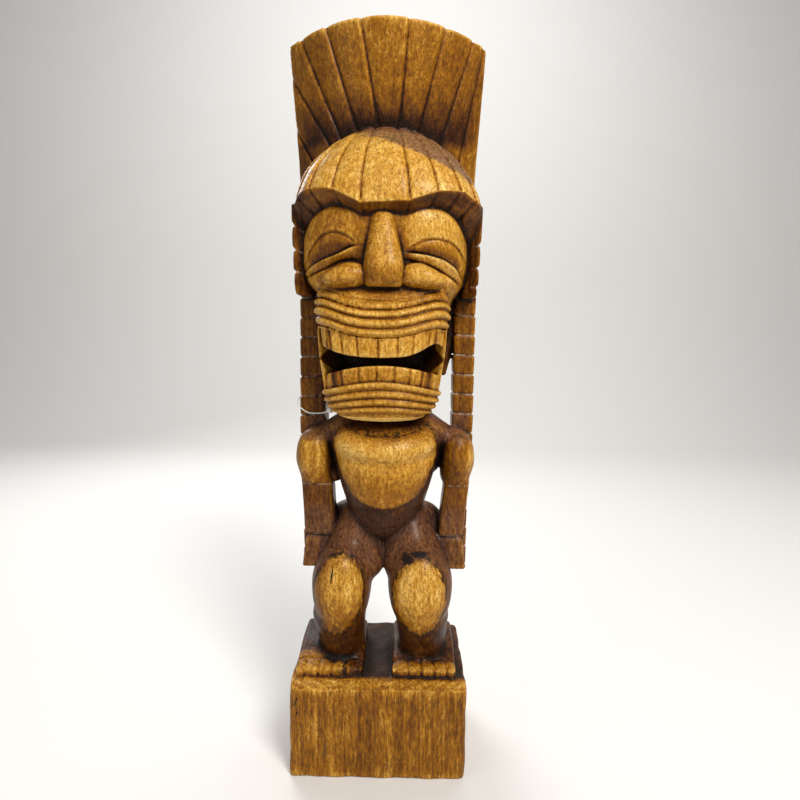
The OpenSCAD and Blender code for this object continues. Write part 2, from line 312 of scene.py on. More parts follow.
def forearm(side):
    top_x, wrist_x, half_w = (48.4, 46.0, 12.0) if side == RIGHT else (51.2, 47.6, 9.8)

    def shape(x, y, z):
        u = x * side
        mid = wrist_x + (top_x - wrist_x) * (z - WRIST_Z) / (ELBOW_Z - WRIST_Z)
        body = block(u - mid, y, z, (0, 0, (ELBOW_Z + WRIST_Z) / 2), (half_w - 0.8, 11.2, 24), 5)
        front, wrist = -y - 10 + (u - mid) * 0.16, WRIST_Z + 0.004 * (u - mid) ** 2 - z
        return smooth_cuts(body, (front, 3), (wrist, 1.2))

    return shape


def hand(side):
    def shape(x, y, z):
        u = x * side
        drop = WRIST_Z - z
        body = block(u, y, z, (47, 1, WRIST_Z - 12), (14, 12.5, 12 + 0.4 * (side == LEFT)), 2)
        outer = u - 56.2 - drop * 0.1 + 2.6 * ramp(drop, 5, 0)
        inner = (33.5 + drop * 0.42 - u) * 0.92
        front = -y - 8.2 - drop * 0.12 + 1.6 * ramp(drop, 5, 0)
        tips = drop * 0.95 - 23.5 - (u - 50) * 0.06
        return smooth_cuts(body, (outer, 1.5), (inner, 2), (front, 2), (tips, 1.6))

    return shape


# ---------- head ----------

HEAD = rings_over(CHIN_Z, (
    (6, 22, -8, 30, 2.2),
    (18, 29, -10, 36, 2.3),
    (30, 34, -11, 39, 2.5),
)) + rings_over(MOUTH_Z, (
    (4, 39.5, -12, 40, 2.6),
    (18, 42, -18, 41, 2.6),
)) + rings_over(NOSE_Z, (
    (-14, 44, -26, 41, 2.6),
    (-4, 46.5, -31, 41, 2.7),
    (3, 54, -34, 41, 2.8),
    (16, 57.2, -37, 41, 2.8),
    (32, 56.8, -39, 41, 2.7),
)) + rings_over(BROW_Z, (
    (-4, 53.5, -39.5, 41, 2.5),
    (14, 48, -35.5, 41, 2.3),
    (28, 33, -24, 39, 2.2),
))

# Each eye is drawn with three lines across the face, given as distance from the middle and height.
EYE_LINES = {
    RIGHT: {
        "arc": (
            (19, 358), (24, 362.5), (30, 365.5), (35, 366.3), (41, 365), (47, 360), (52, 354), (56, 346),
        ),
        "crease": ((16, 357), (22, 356), (33, 351), (42, 348), (50, 344.5), (56, 341)),
        "fold": ((12, 347.5), (22, 347.5), (29, 347), (38, 343), (48, 340), (56, 338)),
    },
    LEFT: {
        "arc": ((11, 353), (17, 357.5), (25, 361.3), (33, 362.5), (42, 361.2), (48, 357), (53, 350)),
        "crease": ((11, 353), (18, 352.3), (26, 351.5), (37, 349), (46, 344.5), (52, 335)),
        "fold": ((9, 348.5), (16, 347), (22, 345), (30, 343.2), (37, 341), (45, 337), (52, 331)),
    },
}
DRAWN_BROW_Z = 381  # height of the brow that the eye's lines were drawn for


def eye_line(side, name, u):
    """Height of one of the eye's lines at a distance u from the middle."""
    points = EYE_LINES[side][name]
    return flow(u, [p[0] for p in points], [p[1] for p in points], 1.5) + BROW_Z - DRAWN_BROW_Z


def eye_relief(side, x, z):
    """How far the face sinks at the eye: under the arc, at the lid's crease and at the fold."""
    u = x * side
    arc, crease, fold = (eye_line(side, name, u) for name in ("arc", "crease", "fold"))
    inner = 17 if side == RIGHT else 10
    within = span(u, inner - 3, inner + 4, 56, 62)
    lid_h = np.maximum(arc - crease, 0.8)
    bag_h = np.maximum(crease - fold, 0.8)
    under_arc, over_crease, over_fold = arc - z, z - crease, z - fold

    on_lid = ramp(under_arc, -0.7, 0.9) * ramp(over_crease, -0.6, 0.7)
    down = np.clip(under_arc / lid_h, 0, 1)
    lid = 1.9 - 1.3 * np.sin(math.pi * down) ** 0.8 + 1.6 * down ** 3
    lid = lid + 0.4 * soft_groove(under_arc - 0.6, 0.8)
    on_bag = ramp(over_crease, 0.7, -0.6) * ramp(over_fold, -0.6, 0.7)
    bag = -1.3 + 3.0 * np.clip(-over_crease / bag_h, 0, 1)
    fold_line = 1.6 * soft_groove(over_fold, 1.0)
    size = np.clip(lid_h / 5, 0.35, 1)
    return within * (size * (on_lid * lid + on_bag * bag) + fold_line)


def brow_bulge(x, z):
    u = np.abs(x + 1)
    high_part = np.exp(-(((u - 32) / 17) ** 2) - ((z - BROW_Z + 8) / 12) ** 2)
    cheek = np.exp(-(((u - 40) / 12) ** 2) - ((z - NOSE_Z - 16) / 14) ** 2)
    beside_nose = span(u, 4, 11, 13, 24)
    return 2.4 * high_part + 1.2 * cheek - 1.2 * beside_nose * ramp(z, NOSE_Z + 14, NOSE_Z + 24)


def head(x, y, z):
    mid_x = -1.7 * ramp(z, NOSE_Z - 6, NOSE_Z + 10)
    body = loft(x, y, z, HEAD, mid_x=mid_x, soft=3) - brow_bulge(x, z) * ramp(y, -8, -24)
    nape = ramp(y, 16, 30) * (np.abs(x) < 44)
    body = body + nape * (0.9 * groove((x + 1) % 11 - 5.5, 1.5) + 0.5 * ramp((x + 1) % 11, 0, 5.5))
    facing = ramp(y, -10, -22)
    relief = eye_relief(RIGHT, x, z) * (x < 0) + eye_relief(LEFT, x, z) * (x >= 0)
    return body + facing * relief


def eye(side):
    """The lid between the arc and its crease, a thin layer of the face."""
    def shape(x, y, z):
        u = x * side
        arc, crease = eye_line(side, "arc", u), eye_line(side, "crease", u)
        window = np.maximum(z - arc, crease - z)
        window = np.maximum(window, (17 if side == RIGHT else 11) - u)
        return np.maximum(window, y + 22) * 0.9 - 0.1

    return shape


NOSE = rings_over(NOSE_Z, (
    (-0.5, 12.4, -48.5, -22, 3.0),
    (5, 13.6, -52, -22, 3.0),
    (12, 13.2, -53, -22, 3.0),
    (22, 11.6, -50.5, -22, 2.9),
    (32, 9.8, -47.0, -22, 2.8),
    (41, 8.4, -44.2, -22, 2.6),
    (48, 7.6, -41, -22, 2.5),
))
WING = rings_over(0, (  # distance from the nose's middle, half height, front y
    (8, 6.5, -43.5), (13, 8.0, -46.5), (18, 8.9, -48.2), (25, 8.8, -49.2), (31, 7.4, -48.4),
    (36, 5.2, -46.0), (39, 3.0, -42.0),
), (-18, 2.2))


def nose(x, y, z):
    ridge = loft(x, y, z, NOSE, mid_x=-1 - 0.03 * (z - NOSE_Z), soft=2.5, end=3)
    u = np.abs(x + 1.2)
    droop = -0.16 * (u - 22) * ramp(u, 20, 27)
    wing = loft(z - NOSE_Z - 6.8, y, u, WING, mid_x=droop, soft=1.5, end=2.5)
    return smooth_union(ridge, wing, 0.5)


# ---------- mouth ----------

# How far the mouth's lines rise from the middle towards the cheeks: (distance, rise) on each side.
LIP_BOW = {
    RIGHT: ((0, 0), (12, 0.5), (22, 2.4), (30, 5.2), (36, 7.4), (41, 8.6), (46, 8.9), (52, 7.5)),
    LEFT: ((0, 0), (10, 0.5), (21, 2.8), (30, 5.6), (36, 7.0), (41, 7.2), (45, 5.8), (50, 2.5)),
}
TOOTH_BOW = {
    RIGHT: ((0, 0), (12, 0.3), (22, 1.4), (30, 3.4), (36, 5.6), (42, 8.4), (48, 11)),
    LEFT: ((0, 0), (12, 0.5), (18, 1.4), (25, 4.2), (33, 8.9), (37, 9.8), (42, 6.0), (46, 3.5)),
}
MOUTH_X = -2.4  # the mouth was carved a little off the middle


def mouth_bow(table, x):
    """The rise of a mouth line, read from one of the tables above."""
    u = x - MOUTH_X
    left, right = (flow(np.abs(u), *zip(*table[side]), 1.5) for side in (LEFT, RIGHT))
    return np.where(u > 0, left, right)


def rolls(level, edges, depth):
    """Rounded folds between the given heights, each with a groove under it."""
    relief = 0
    for start, end in zip(edges[:-1], edges[1:]):
        t = np.clip((level - start) / (end - start), 0, 1)
        inside = (level >= start) & (level < end)
        relief = relief + inside * depth * (0.5 + 0.5 * np.cos(2 * math.pi * t ** 0.85)) ** 1.7
    return relief


LIP = rings_over(MOUTH_Z, (
    (14.2, 42.5, -44.5, 6, 2.5),
    (17, 44.5, -47.8, 8, 2.5),
    (24, 46, -49.5, 8, 2.5),
    (31, 46, -49, 8, 2.5),
    (38, 43.5, -46.5, 8, 2.5),
    (46, 39.5, -42, 8, 2.5),
    (56, 36, -36, 8, 2.5),
))
LIP_FOLDS = tuple(MOUTH_Z + h for h in (15.0, 21.7, 28.1, 33.8, 39.8))


def upper_lip(x, y, z):
    rise = mouth_bow(LIP_BOW, x)
    body = loft(x, y, z - rise * 0.95, LIP, mid_x=MOUTH_X, soft=2.5, end=1.5)
    front = ramp(y, 8, -4)
    folds = rolls(z - rise, LIP_FOLDS[:4], 2.3) + 0.45 * rolls(z - rise, LIP_FOLDS[3:], 2.3)
    return body + front * folds


UPPER_TOOTH_LINES = (-48, -42, -35, -27.5, -17.5, -4, 8.5, 18, 28, 35.5, 44)
LOWER_TOOTH_LINES = (-44, -36, -28.5, -16.5, -5, 6.5, 16.5, 24.5, 32, 40)


def tooth_lines(x, fan, lines):
    """1 on the thin lines between the teeth. fan spreads the lines with height."""
    return sum(soft_groove(x - fan * x - line, 0.75) for line in lines)


def tooth_facets(x, fan, lines):
    """Flat-faced teeth side by side, each turned a little, with thin lines between them."""
    relief = 0.7 * tooth_lines(x, fan, lines)
    x = x - fan * x
    for start, end in zip(lines[:-1], lines[1:]):
        t = np.clip((x - start) / (end - start), 0, 1)
        relief = relief + (x >= start) * (x < end) * (0.35 * np.abs(2 * t - 1) ** 3 + 0.4 * t)
    return relief


def upper_fan(z):
    return 0.004 * (z - MOUTH_Z - 10)


def lower_fan(z):
    return 0.006 * (z - CHIN_Z - 32)


def upper_teeth(x, y, z):
    rise = mouth_bow(TOOTH_BOW, x)
    outer_rows = (1.0, 40.3, -45.0), (6, 41.2, -46.2), (12, 41.8, -46.0), (22, 41, -44)
    inner_rows = (-8, 36, -37.5), (14, 36, -37.5)
    outer, inner = (rings_over(MOUTH_Z, rows, (4, 2.5)) for rows in (outer_rows, inner_rows))
    body = loft(x, y, z - rise, outer, mid_x=MOUTH_X, soft=1.5, end=1.0)
    inner = loft(x, y, z - rise, inner, mid_x=MOUTH_X, end=2)
    body = body + ramp(y, 0, -10) * tooth_facets(x, upper_fan(z), UPPER_TOOTH_LINES)
    return smooth_cuts(body, (MOUTH_Z + 3.2 - z + rise, 1.0), (-inner, 1.2))


def lower_teeth(x, y, z):
    drop = -0.0046 * (x + 1.5) ** 2
    shared = (2, 2.4)
    outer = rings_over(CHIN_Z, ((20, 35, -41), (26, 37.5, -42.6), (33, 38.5, -43.2)), shared)
    outer = outer + rings_over(MOUTH_Z, ((0.4, 37.8, -42.2),), shared)
    inner = rings_over(CHIN_Z, ((30, 31, -35),), shared) + rings_over(MOUTH_Z, ((8, 33, -36),), shared)
    body = loft(x, y, z - drop, outer, mid_x=-1.8, soft=1.5, end=1.0)
    inner = loft(x, y, z, inner, mid_x=-1.8, end=2)
    body = body + ramp(y, 0, -10) * tooth_facets(x, lower_fan(z), LOWER_TOOTH_LINES)
    return smooth_cuts(body, (z - drop - MOUTH_Z + 2.0, 1.0), (-inner, 1.2))


CHIN = rings_over(CHIN_Z, (
    (0.4, 23, -35, 0, 2.2),
    (3, 28.5, -39, 1, 2.2),
    (8, 33.5, -42.8, 1, 2.2),
    (14, 37, -45.2, 2, 2.3),
    (21, 39.5, -47.2, 3, 2.4),
    (27.8, 40.5, -48.2, 4, 2.4),
))
CHIN_FOLDS = tuple(CHIN_Z + h for h in (-0.6, 7.2, 11.9, 17.3, 22.6, 30.5))


def chin(x, y, z):
    """The folds under the mouth, which arch more the higher they are."""
    arch = np.interp(z, (CHIN_Z, CHIN_Z + 7, CHIN_Z + 17, CHIN_Z + 27), (-0.002, 0.0028, 0.0038, 0.0052))
    level = z + arch * (x + 1.8) ** 2
    body = loft(x, y, level, CHIN, mid_x=-2.4, soft=2, end=1.5)
    return body + ramp(y, 6, -6) * rolls(level, CHIN_FOLDS, 1.9)


def cheeks(x, y, z):
    """The walls that close the mouth at its corners. Each slopes back from a thin outer edge."""
    u = np.abs(x - MOUTH_X)
    outer = flow(z, (CHIN_Z + 6, CHIN_Z + 20, MOUTH_Z + 6, MOUTH_Z + 22), (31, 38.5, 42.5, 43.5))
    front = (-27 + (outer - u) * 1.25 - y) * 0.62
    body = smooth_cuts(u - outer, (front, 1.6), (y - 22, 3), (CHIN_Z + 8 - z, 3), (z - MOUTH_Z - 24, 3))
    jaw = limb(x, y, z, (47, 17, MOUTH_Z + 38), (41.5, 17, MOUTH_Z - 8), 7.8, 2.4)
    return smooth_union(body, jaw, 3)


# ---------- hair ----------

BRIM = (  # distance across, height
    (-66, 383), (-62, 387), (-58, 392.5), (-48.8, 393), (-35, 391.3), (-16.4, 382), (14.8, 383.6),
    (33.4, 390.2), (48.5, 391.5), (59, 386), (66, 380),
)
DRAWN_CROWN_Z = 438  # height of the crown that the brim's edge was drawn for


def brim_z(x):
    """Height of the brim's front edge, straight between the cap's grooves."""
    return np.interp(x, [p[0] for p in BRIM], [p[1] for p in BRIM]) + CROWN_Z - DRAWN_CROWN_Z


CAP = rings_over(BROW_Z, (
    (-22, 63.6, -46.5, 42, 3.0),
    (2, 64, -48, 42, 3.0),
    (12, 62, -47, 42, 2.8),
    (26, 57, -42.8, 42, 2.5),
    (38, 49.5, -36.5, 42, 2.2),
    (47, 41.5, -29, 42, 2.1),
    (53, 33, -22, 40, 2.05),
    (57, 24, -15, 38, 2),
))
CAP_GROOVES = (-60, -51, -34.5, -16, 14.8, 33, 48, 58)  # distance across the brim at each groove's foot
RIM_HALF_W, RIM_MID_Y, RIM_HALF_D = 64.4, -3, 45
SIDE_RIM_Y = -20
ARCH_CENTRE_Z = BROW_Z - 50  # the hair's lines under the brim point to here


def under_brim_y(x, z):
    """Where the hair's underside lies: it slopes back from the brim's edge in to the face."""
    u = np.abs(x)
    rim_y = RIM_MID_Y - RIM_HALF_D * np.maximum(1 - np.minimum(u / RIM_HALF_W, 1) ** 3, 0.02) ** (1 / 3)
    lean = 1.55 - 0.65 * ramp(u, 30, 55)
    return rim_y + lean * (brim_z(x) - z)


def side_hair_y(x):
    """Where the front of the side hair lies, further back the further in it is."""
    return SIDE_RIM_Y + 0.9 * (RIM_HALF_W - np.abs(x))


def ray_distance(x, z, at):
    """Distance in the face's plane from the line that joins a point to the arch's centre."""
    dx, dz = at[0], at[1] - ARCH_CENTRE_Z
    return (x * dz - (z - ARCH_CENTRE_Z) * dx) / math.hypot(dx, dz)


def cap_groove_x(foot_x, z):
    """Across the cap, a groove starts at its foot on the brim and closes in towards the crown."""
    up = np.clip((z - BROW_Z - 4) / (CROWN_Z - BROW_Z - 4), 0, 1)
    return foot_x * (1 - 0.5 * up ** 1.6) - 1.5 * up


def cap(x, y, z):
    body = loft(x, y, z, CAP, mid_x=-1.5 * ramp(z, BROW_Z + 4, BROW_Z + 34), soft=3, end=2.5)
    front = ramp(y, 12, -2)
    above = ramp(z - brim_z(x), -1.5, 0.0)
    for foot_x in CAP_GROOVES:
        u = x - cap_groove_x(foot_x, z)
        tilt = 0.7 * ramp(u * np.sign(foot_x), -6, 0) * ramp(u * np.sign(foot_x), 0.8, 0)
        body = body + front * above * (1.25 * soft_groove(u, 1.1) + tilt)
    under = (under_brim_y(x, z) - y) * 0.42
    for foot_x in CAP_GROOVES:
        line = ray_distance(x, z, (foot_x, float(brim_z(foot_x))))
        under = under + 0.9 * (1 - above) * groove(line, 1.4) * (np.abs(x - foot_x) < 26)
    return smooth_cut(body, under, 0.8)


SIDE_HAIR = rings_over(NOSE_Z, ((-4, 4.6, -24, 12), (2, 5.6, -28, 13), (20, 6.4, -30, 14)), (3.5,))
SIDE_HAIR += rings_over(BROW_Z, ((-8, 7.2, -32, 15), (6, 7.4, -34, 16)), (3.5,))
HAIR_NOTCHES = {RIGHT: (43, 27, 12), LEFT: (32, 16.5, 3)}  # heights over the nose at the outer edge


def side_hair(side):
    mid_x = 57.2 if side == RIGHT else 56.4

    def shape(x, y, z):
        u = x * side
        body = loft(u, y, z, SIDE_HAIR, mid_x=mid_x, soft=3, end=2.0)
        for height in HAIR_NOTCHES[side]:
            line = ray_distance(x, z, (side * RIM_HALF_W, NOSE_Z + height))
            turned = 0.6 * ramp(line * side, 7, 0) * ramp(line * side, -1, 0.5)
            body = body + 1.5 * groove(line, 1.5) + turned
        return smooth_cut(body, (side_hair_y(x) - y) * 0.74, 1.5)

    return shape


CREST_MID_X = -2.2
CREST_H = 62  # over the crown
CREST_SLICES = (  # z, half width, front y in the middle
    (BROW_Z + 8, 64.2, -4),
    (CROWN_Z - 28, 65.2, -5),
    (CROWN_Z - 8, 65.8, -9),
    (CROWN_Z + 2, 66.2, -12.5),
    (CROWN_Z + 14, 66.8, -16.5),
    (CROWN_Z + 30, 67.4, -22),
    (CROWN_Z + 48, 68.2, -28),
    (TOP_Z, 68.6, -31.8),
)
FRONT_CURVE = 0.0085  # how fast the crest's front curves away from its middle, per millimetre
# Each groove of the crest, as its distance across at the crown and at the top.
CREST_GROOVES = (
    (-63, -97), (-45, -82), (-34.5, -61.5), (-21.8, -42), (-6.7, -18.3), (6.8, 12.9), (20, 36.5),
    (36.5, 56.3), (52, 64.6),
)


def crest(x, y, z):
    zs, half_ws, fronts = zip(*CREST_SLICES)
    u = x - CREST_MID_X
    front_y = flow(z, zs, fronts, 4) + FRONT_CURVE * u * u
    slope = np.sqrt(1 + (2 * FRONT_CURVE * u) ** 2)
    front = (front_y - y) / slope
    up = np.clip((z - CROWN_Z) / (TOP_Z - CROWN_Z), -0.5, 1.05)
    for at_crown, at_top in CREST_GROOVES:
        lean = math.atan((at_top - at_crown) / CREST_H)
        line = (x - (at_crown + (at_top - at_crown) * up)) * math.cos(lean)
        panel = 0.8 * ramp(line, 9, 0) * ramp(line, -1.6, 0)
        front = front + (1.5 - 0.4 * up) * groove(line, 1.9) + panel
    body = smooth_cut(np.abs(u) - flow(z, zs, half_ws, 4), front, 1.6)
    back = y - BACK_Y + 0.5 + 0.003 * u * u
    for at_crown, at_top in CREST_GROOVES:
        back = back + 1.2 * groove(x - (at_crown + (at_top - at_crown) * (0.4 + 0.4 * up)), 1.9)
    flat_top = z - TOP_Z - 0.2 + 0.012 * np.abs(u)
    return smooth_cuts(body, (back, 2.2), (BROW_Z + 6 - z, 3), (flat_top, 1.0))


BAND_H = 14.2
BAND_TILT, BAND_PIVOT_X = 0.05, 55.8


def lock_fold(side, x, z):
    """Height inside a lock's band, from its middle. The bands tilt a little outwards."""
    shift = 3.0 if side == RIGHT else 0.0
    return (z + BAND_TILT * (x * side - BAND_PIVOT_X) - LOCK_Z + shift) % BAND_H - BAND_H / 2


def lock(side):
    mid_x, half_w = (53.8, 9.4) if side == RIGHT else (55.8, 7.7)

    def shape(x, y, z):
        inward = 1.4 * ramp(z, ELBOW_Z + 14, ELBOW_Z - 6)
        u = x * side + inward
        middle = (mid_x, LOCK_Y, (LOCK_Z + BROW_Z) / 2 + 8)
        body = block(u, y, z, middle, (half_w - inward, 11, (BROW_Z - LOCK_Z) / 2 + 12), 2.2)
        fold = lock_fold(side, x, z)
        notch = 1.3 * groove(np.abs(fold) - BAND_H / 2, 1.1)
        return body + notch - 0.45 * fold / BAND_H

    return shape


# ---------- the sculpture: every region with the box it lies in and how softly it joins ----------

def mirrored_box(side, box):
    (x0, y0, z0), (x1, y1, z1) = box
    return ((x0, y0, z0), (x1, y1, z1)) if side == LEFT else ((-x1, y0, z0), (-x0, y1, z1))


def regions():
    """(node, function, box, softness of the join), from the feet up."""
    rows = [("base_block", base_block, ((-62, -50, -2), (62, 50, BASE_Z + 2)), 1.0)]
    for word, side in SIDES.items():
        rows += [
            (word + "_foot", foot(side), ((2, -42, BASE_Z - 10), (62, 28, BASE_Z + 18)), 1.5),
            (word + "_shin", shin(side), ((4, -46, BASE_Z - 8), (54, 20, ANKLE_Z + 56)), 5.0),
            (word + "_thigh", thigh(side), ((-5, -50, ANKLE_Z + 14), (56, 34, WAIST_Z + 2)), 1.6),
        ]
    rows += [
        ("pelvis", pelvis, ((-32, -44, WAIST_Z - 30), (32, 34, WAIST_Z + 4)), 1.8),
        ("torso", torso, ((-44, -48, WAIST_Z - 4), (44, 34, COLLAR_Z + 16)), 1.5),
    ]
    for word, side in SIDES.items():
        rows += [
            (word + "_hand", hand(side), ((30, -18, WRIST_Z - 32), (66, 24, WRIST_Z + 8)), 1.5),
            (word + "_forearm", forearm(side), ((30, -18, WRIST_Z - 4), (66, 22, ELBOW_Z + 20)), 1.5),
            (word + "_upper_arm", upper_arm(side), ((28, -24, ELBOW_Z - 4), (68, 24, COLLAR_Z + 12)), 2),
            (word + "_lock", lock(side), ((42, -2, LOCK_Z - 6), (68, 36, BROW_Z + 26)), 1.5),
        ]
    rows += [
        ("shoulders", shoulders, ((-62, -34, COLLAR_Z - 42), (62, 40, CHIN_Z + 30)), 4.0),
        ("head", head, ((-64, -50, CHIN_Z), (64, 46, BROW_Z + 32)), 2.0),
        ("head", cheeks, ((-52, -42, CHIN_Z + 2), (56, 28, MOUTH_Z + 48)), 3.0),
        ("upper_teeth", upper_teeth, ((-48, -52, MOUTH_Z - 2), (48, 10, MOUTH_Z + 34)), 0.8),
        ("lower_teeth", lower_teeth, ((-44, -50, CHIN_Z + 8), (44, 8, MOUTH_Z + 4)), 0.8),
        ("upper_lip", upper_lip, ((-56, -56, MOUTH_Z + 4), (54, 16, NOSE_Z + 16)), 0.8),
        ("chin", chin, ((-50, -54, CHIN_Z - 12), (46, 12, MOUTH_Z - 2)), 0.8),
        ("nose", nose, ((-44, -58, NOSE_Z - 6), (42, -18, BROW_Z + 10)), 1.2),
    ]
    for word, side in SIDES.items():
        box = ((44, -38, NOSE_Z - 10), (70, 22, BROW_Z + 14))
        rows.append((word + "_side_hair", side_hair(side), box, 1.2))
    rows += [
        ("crest", crest, ((-76, -42, BROW_Z), (74, 54, TOP_Z + 3)), 1.0),
        ("cap", cap, ((-69, -54, BROW_Z - 26), (69, 46, CROWN_Z + 4)), 0.8),
    ]
    sides = [SIDES.get(name.split("_")[0], LEFT) for name, _, _, _ in rows]
    return [(name, fn, mirrored_box(side, box), k) for side, (name, fn, box, k) in zip(sides, rows)]


def graded_axis(start, end, spacing):
    """Grid planes from start to end."""
    at, gaps = zip(*spacing)
    planes = [start]
    while planes[-1] < end:
        planes.append(planes[-1] + COARSE * float(np.interp(planes[-1], at, gaps)))
    return np.array(planes, np.float32)


# The grid is fine where the carving is fine: at the face, and towards the front. Each axis has its
# own list of (coordinate, distance between planes).
SPACING = (
    ((0, 0.84),),
    ((-14, 0.77), (0, 1.2), (20, 1.9), (44, 1.9), (48, 1.0)),
    ((BASE_Z - 6, 1.9), (BASE_Z, 0.85), (BASE_Z + 14, 0.95), (CHIN_Z - 8, 0.95), (CHIN_Z, 0.72),
     (BROW_Z + 14, 0.72), (CROWN_Z, 1.1), (CROWN_Z + 10, 1.6), (TOP_Z - 6, 1.6), (TOP_Z - 3, 0.8)),
)


class Sculpture:
    """The blended field on a grid, and which region each grid point belongs to."""

    def __init__(self, rows):
        boxes = np.array([box for _, _, box, _ in rows], float)
        first, last = boxes[:, 0].min(0) - MARGIN, boxes[:, 1].max(0) + MARGIN
        self.axes = [graded_axis(first[i], last[i], SPACING[i]) for i in range(3)]
        counts = [len(a) for a in self.axes]
        self.field = np.full(counts, FAR, np.float32)
        self.nearest = np.full(counts, 1e6, np.float32)
        self.label = np.zeros(counts, np.uint8)
        self.names = []
        for name, fn, box, k in rows:
            self.add(name, fn, box, k)

    def window(self, box):
        return tuple(slice(*np.searchsorted(self.axes[i], (box[0][i], box[1][i]))) for i in range(3))

    def points(self, window):
        return np.meshgrid(*(a[w] for a, w in zip(self.axes, window)), indexing="ij", sparse=True)

    def add(self, name, fn, box, k):
        if name not in self.names:
            self.names.append(name)
        number = self.names.index(name) + 1
        window = self.window(box)
        distance = np.asarray(fn(*self.points(window)), np.float32)
        self.field[window] = smooth_union(distance, self.field[window], k)
        closer = distance < self.nearest[window]
        self.nearest[window] = np.where(closer, distance, self.nearest[window])
        self.label[window] = np.where(closer, number, self.label[window])

    def solid_label(self):
        """The number of each grid point's region, or 0 outside the wood."""
        return np.where(self.field < 0, self.label, 0).astype(np.uint8)

    def mask(self, words):
        """1 at the grid points of the regions whose names end with one of the words."""
        wanted = [i for i, name in enumerate(self.names, 1) if name.endswith(words)]
        return (np.isin(self.label, wanted) & (self.field < 0)).astype(np.float32)

    def to_grid(self, points):
        """Turns millimetres into places between the grid planes."""
        columns = [np.interp(points[:, i], a, np.arange(len(a))) for i, a in enumerate(self.axes)]
        return np.stack(columns, 1)

    def to_mm(self, places):
        columns = [np.interp(places[:, i], np.arange(len(a)), a) for i, a in enumerate(self.axes)]
        return np.stack(columns, 1)

    def sample(self, values, points):
        """Reads a grid between its planes."""
        p = self.to_grid(points)
        i = np.clip(p.astype(int), 0, np.array(values.shape) - 2)
        t = p - i
        total = 0
        for dx, dy, dz in ((a, b, c) for a in (0, 1) for b in (0, 1) for c in (0, 1)):
            weight = (t[:, 0] if dx else 1 - t[:, 0]) * (t[:, 1] if dy else 1 - t[:, 1])
            weight = weight * (t[:, 2] if dz else 1 - t[:, 2])
            total = total + weight * values[i[:, 0] + dx, i[:, 1] + dy, i[:, 2] + dz]
        return total

    def slope(self, points):
        reach = 0.4
        parts = []
        for axis in range(3):
            shift = np.zeros(3)
            shift[axis] = reach
            ahead, behind = (self.sample(self.field, points + s) for s in (shift, -shift))
            parts.append(ahead - behind)
        return np.stack(parts, 1) / (2 * reach)


def steps(axis):
    """The two pairs of indices that step one cell along an axis, forwards and back."""
    ahead, behind = [slice(None)] * 3, [slice(None)] * 3
    ahead[axis], behind[axis] = slice(1, None), slice(None, -1)
    return (tuple(ahead), tuple(behind)), (tuple(behind), tuple(ahead))


def join_islands(sculpture, name):
    """Hands the specks of a region that lie apart from its main part to the regions round them."""
    number = sculpture.names.index(name) + 1
    own = (sculpture.label == number) & (sculpture.field < 0)
    window = tuple(
        slice(max(np.argmax(line) - 1, 0), len(line) - np.argmax(line[::-1]) + 1)
        for line in (own.any((1, 2)), own.any((0, 2)), own.any((0, 1)))
    )
    own, label, field = own[window], sculpture.label[window], sculpture.field[window]
    grown = np.zeros_like(own)
    grown[np.unravel_index(np.argmin(np.where(own, field, 1)), own.shape)] = True
    count = 0
    while grown.sum() > count:
        count = grown.sum()
        for axis in range(3):
            for to, source in steps(axis):
                grown[to] |= grown[source] & own[to]
    island = own & ~grown
    while island.any():
        count = island.sum()
        for axis in range(3):
            for to, source in steps(axis):
                take = island[to] & ~island[source] & ~own[source] & (field[source] < 0)
                label[to] = np.where(take, label[source], label[to])
                island[to] &= ~take
        own = own & (grown | island)
        if island.sum() == count:  # nothing round it can take it up, so it is left out of the skin
            field[island] = 0.02
            break


# The four cells round an edge: two across from each other, and the two beside them.
DIAGONALS = (((0, 0), (1, 1), (1, 0), (0, 1)), ((1, 0), (0, 1), (0, 0), (1, 1)))


def part_edges(sculpture, rounds=30):
    """Fills a corner wherever a region would touch itself only along an edge, or else gives it away."""
    for turn in range(rounds):
        label = sculpture.solid_label()
        clean = True
        for a, b in ((0, 1), (0, 2), (1, 2)):
            def corner(da, db):
                """The labels, seen one step along a, b or both."""
                cut = [slice(None)] * 3
                cut[a] = slice(da, label.shape[a] - 1 + da)
                cut[b] = slice(db, label.shape[b] - 1 + db)
                return label[tuple(cut)]

            for near, far, side_1, side_2 in DIAGONALS:
                own = corner(*near)
                alone = (own > 0) & (own == corner(*far))
                alone = alone & (own != corner(*side_1)) & (own != corner(*side_2))
                for cell in np.argwhere(alone):
                    places = []
                    for da, db in (near, far, *((side_1, side_2) if turn % 2 else (side_2, side_1))):
                        place = cell.copy()
                        place[a] += da
                        place[b] += db
                        places.append(tuple(place))
                    own, across, one, two = (label[place] for place in places)
                    if own != across or own in (one, two):
                        continue
                    clean = False
                    if turn >= rounds // 2 and max(one, two) > 0:
                        label[places[0]] = sculpture.label[places[0]] = max(one, two)
                        continue
                    target = places[2] if one > 0 or two == 0 else places[3]
                    label[target] = own
                    sculpture.label[target] = own
                    sculpture.field[target] = min(sculpture.field[target], -0.02)
        if clean:
            break


def own_layer(sculpture, name, fn, box, depth):
    """Gives a region the outer layer of the sculpture inside its window, without changing the skin."""
    sculpture.names.append(name)
    number = len(sculpture.names)
    window = sculpture.window(box)
    inside = (fn(*sculpture.points(window)) < 0) & (sculpture.field[window] > -depth)
    sculpture.label[window] = np.where(inside, number, sculpture.label[window])


# ---------- from the field to closed meshes ----------

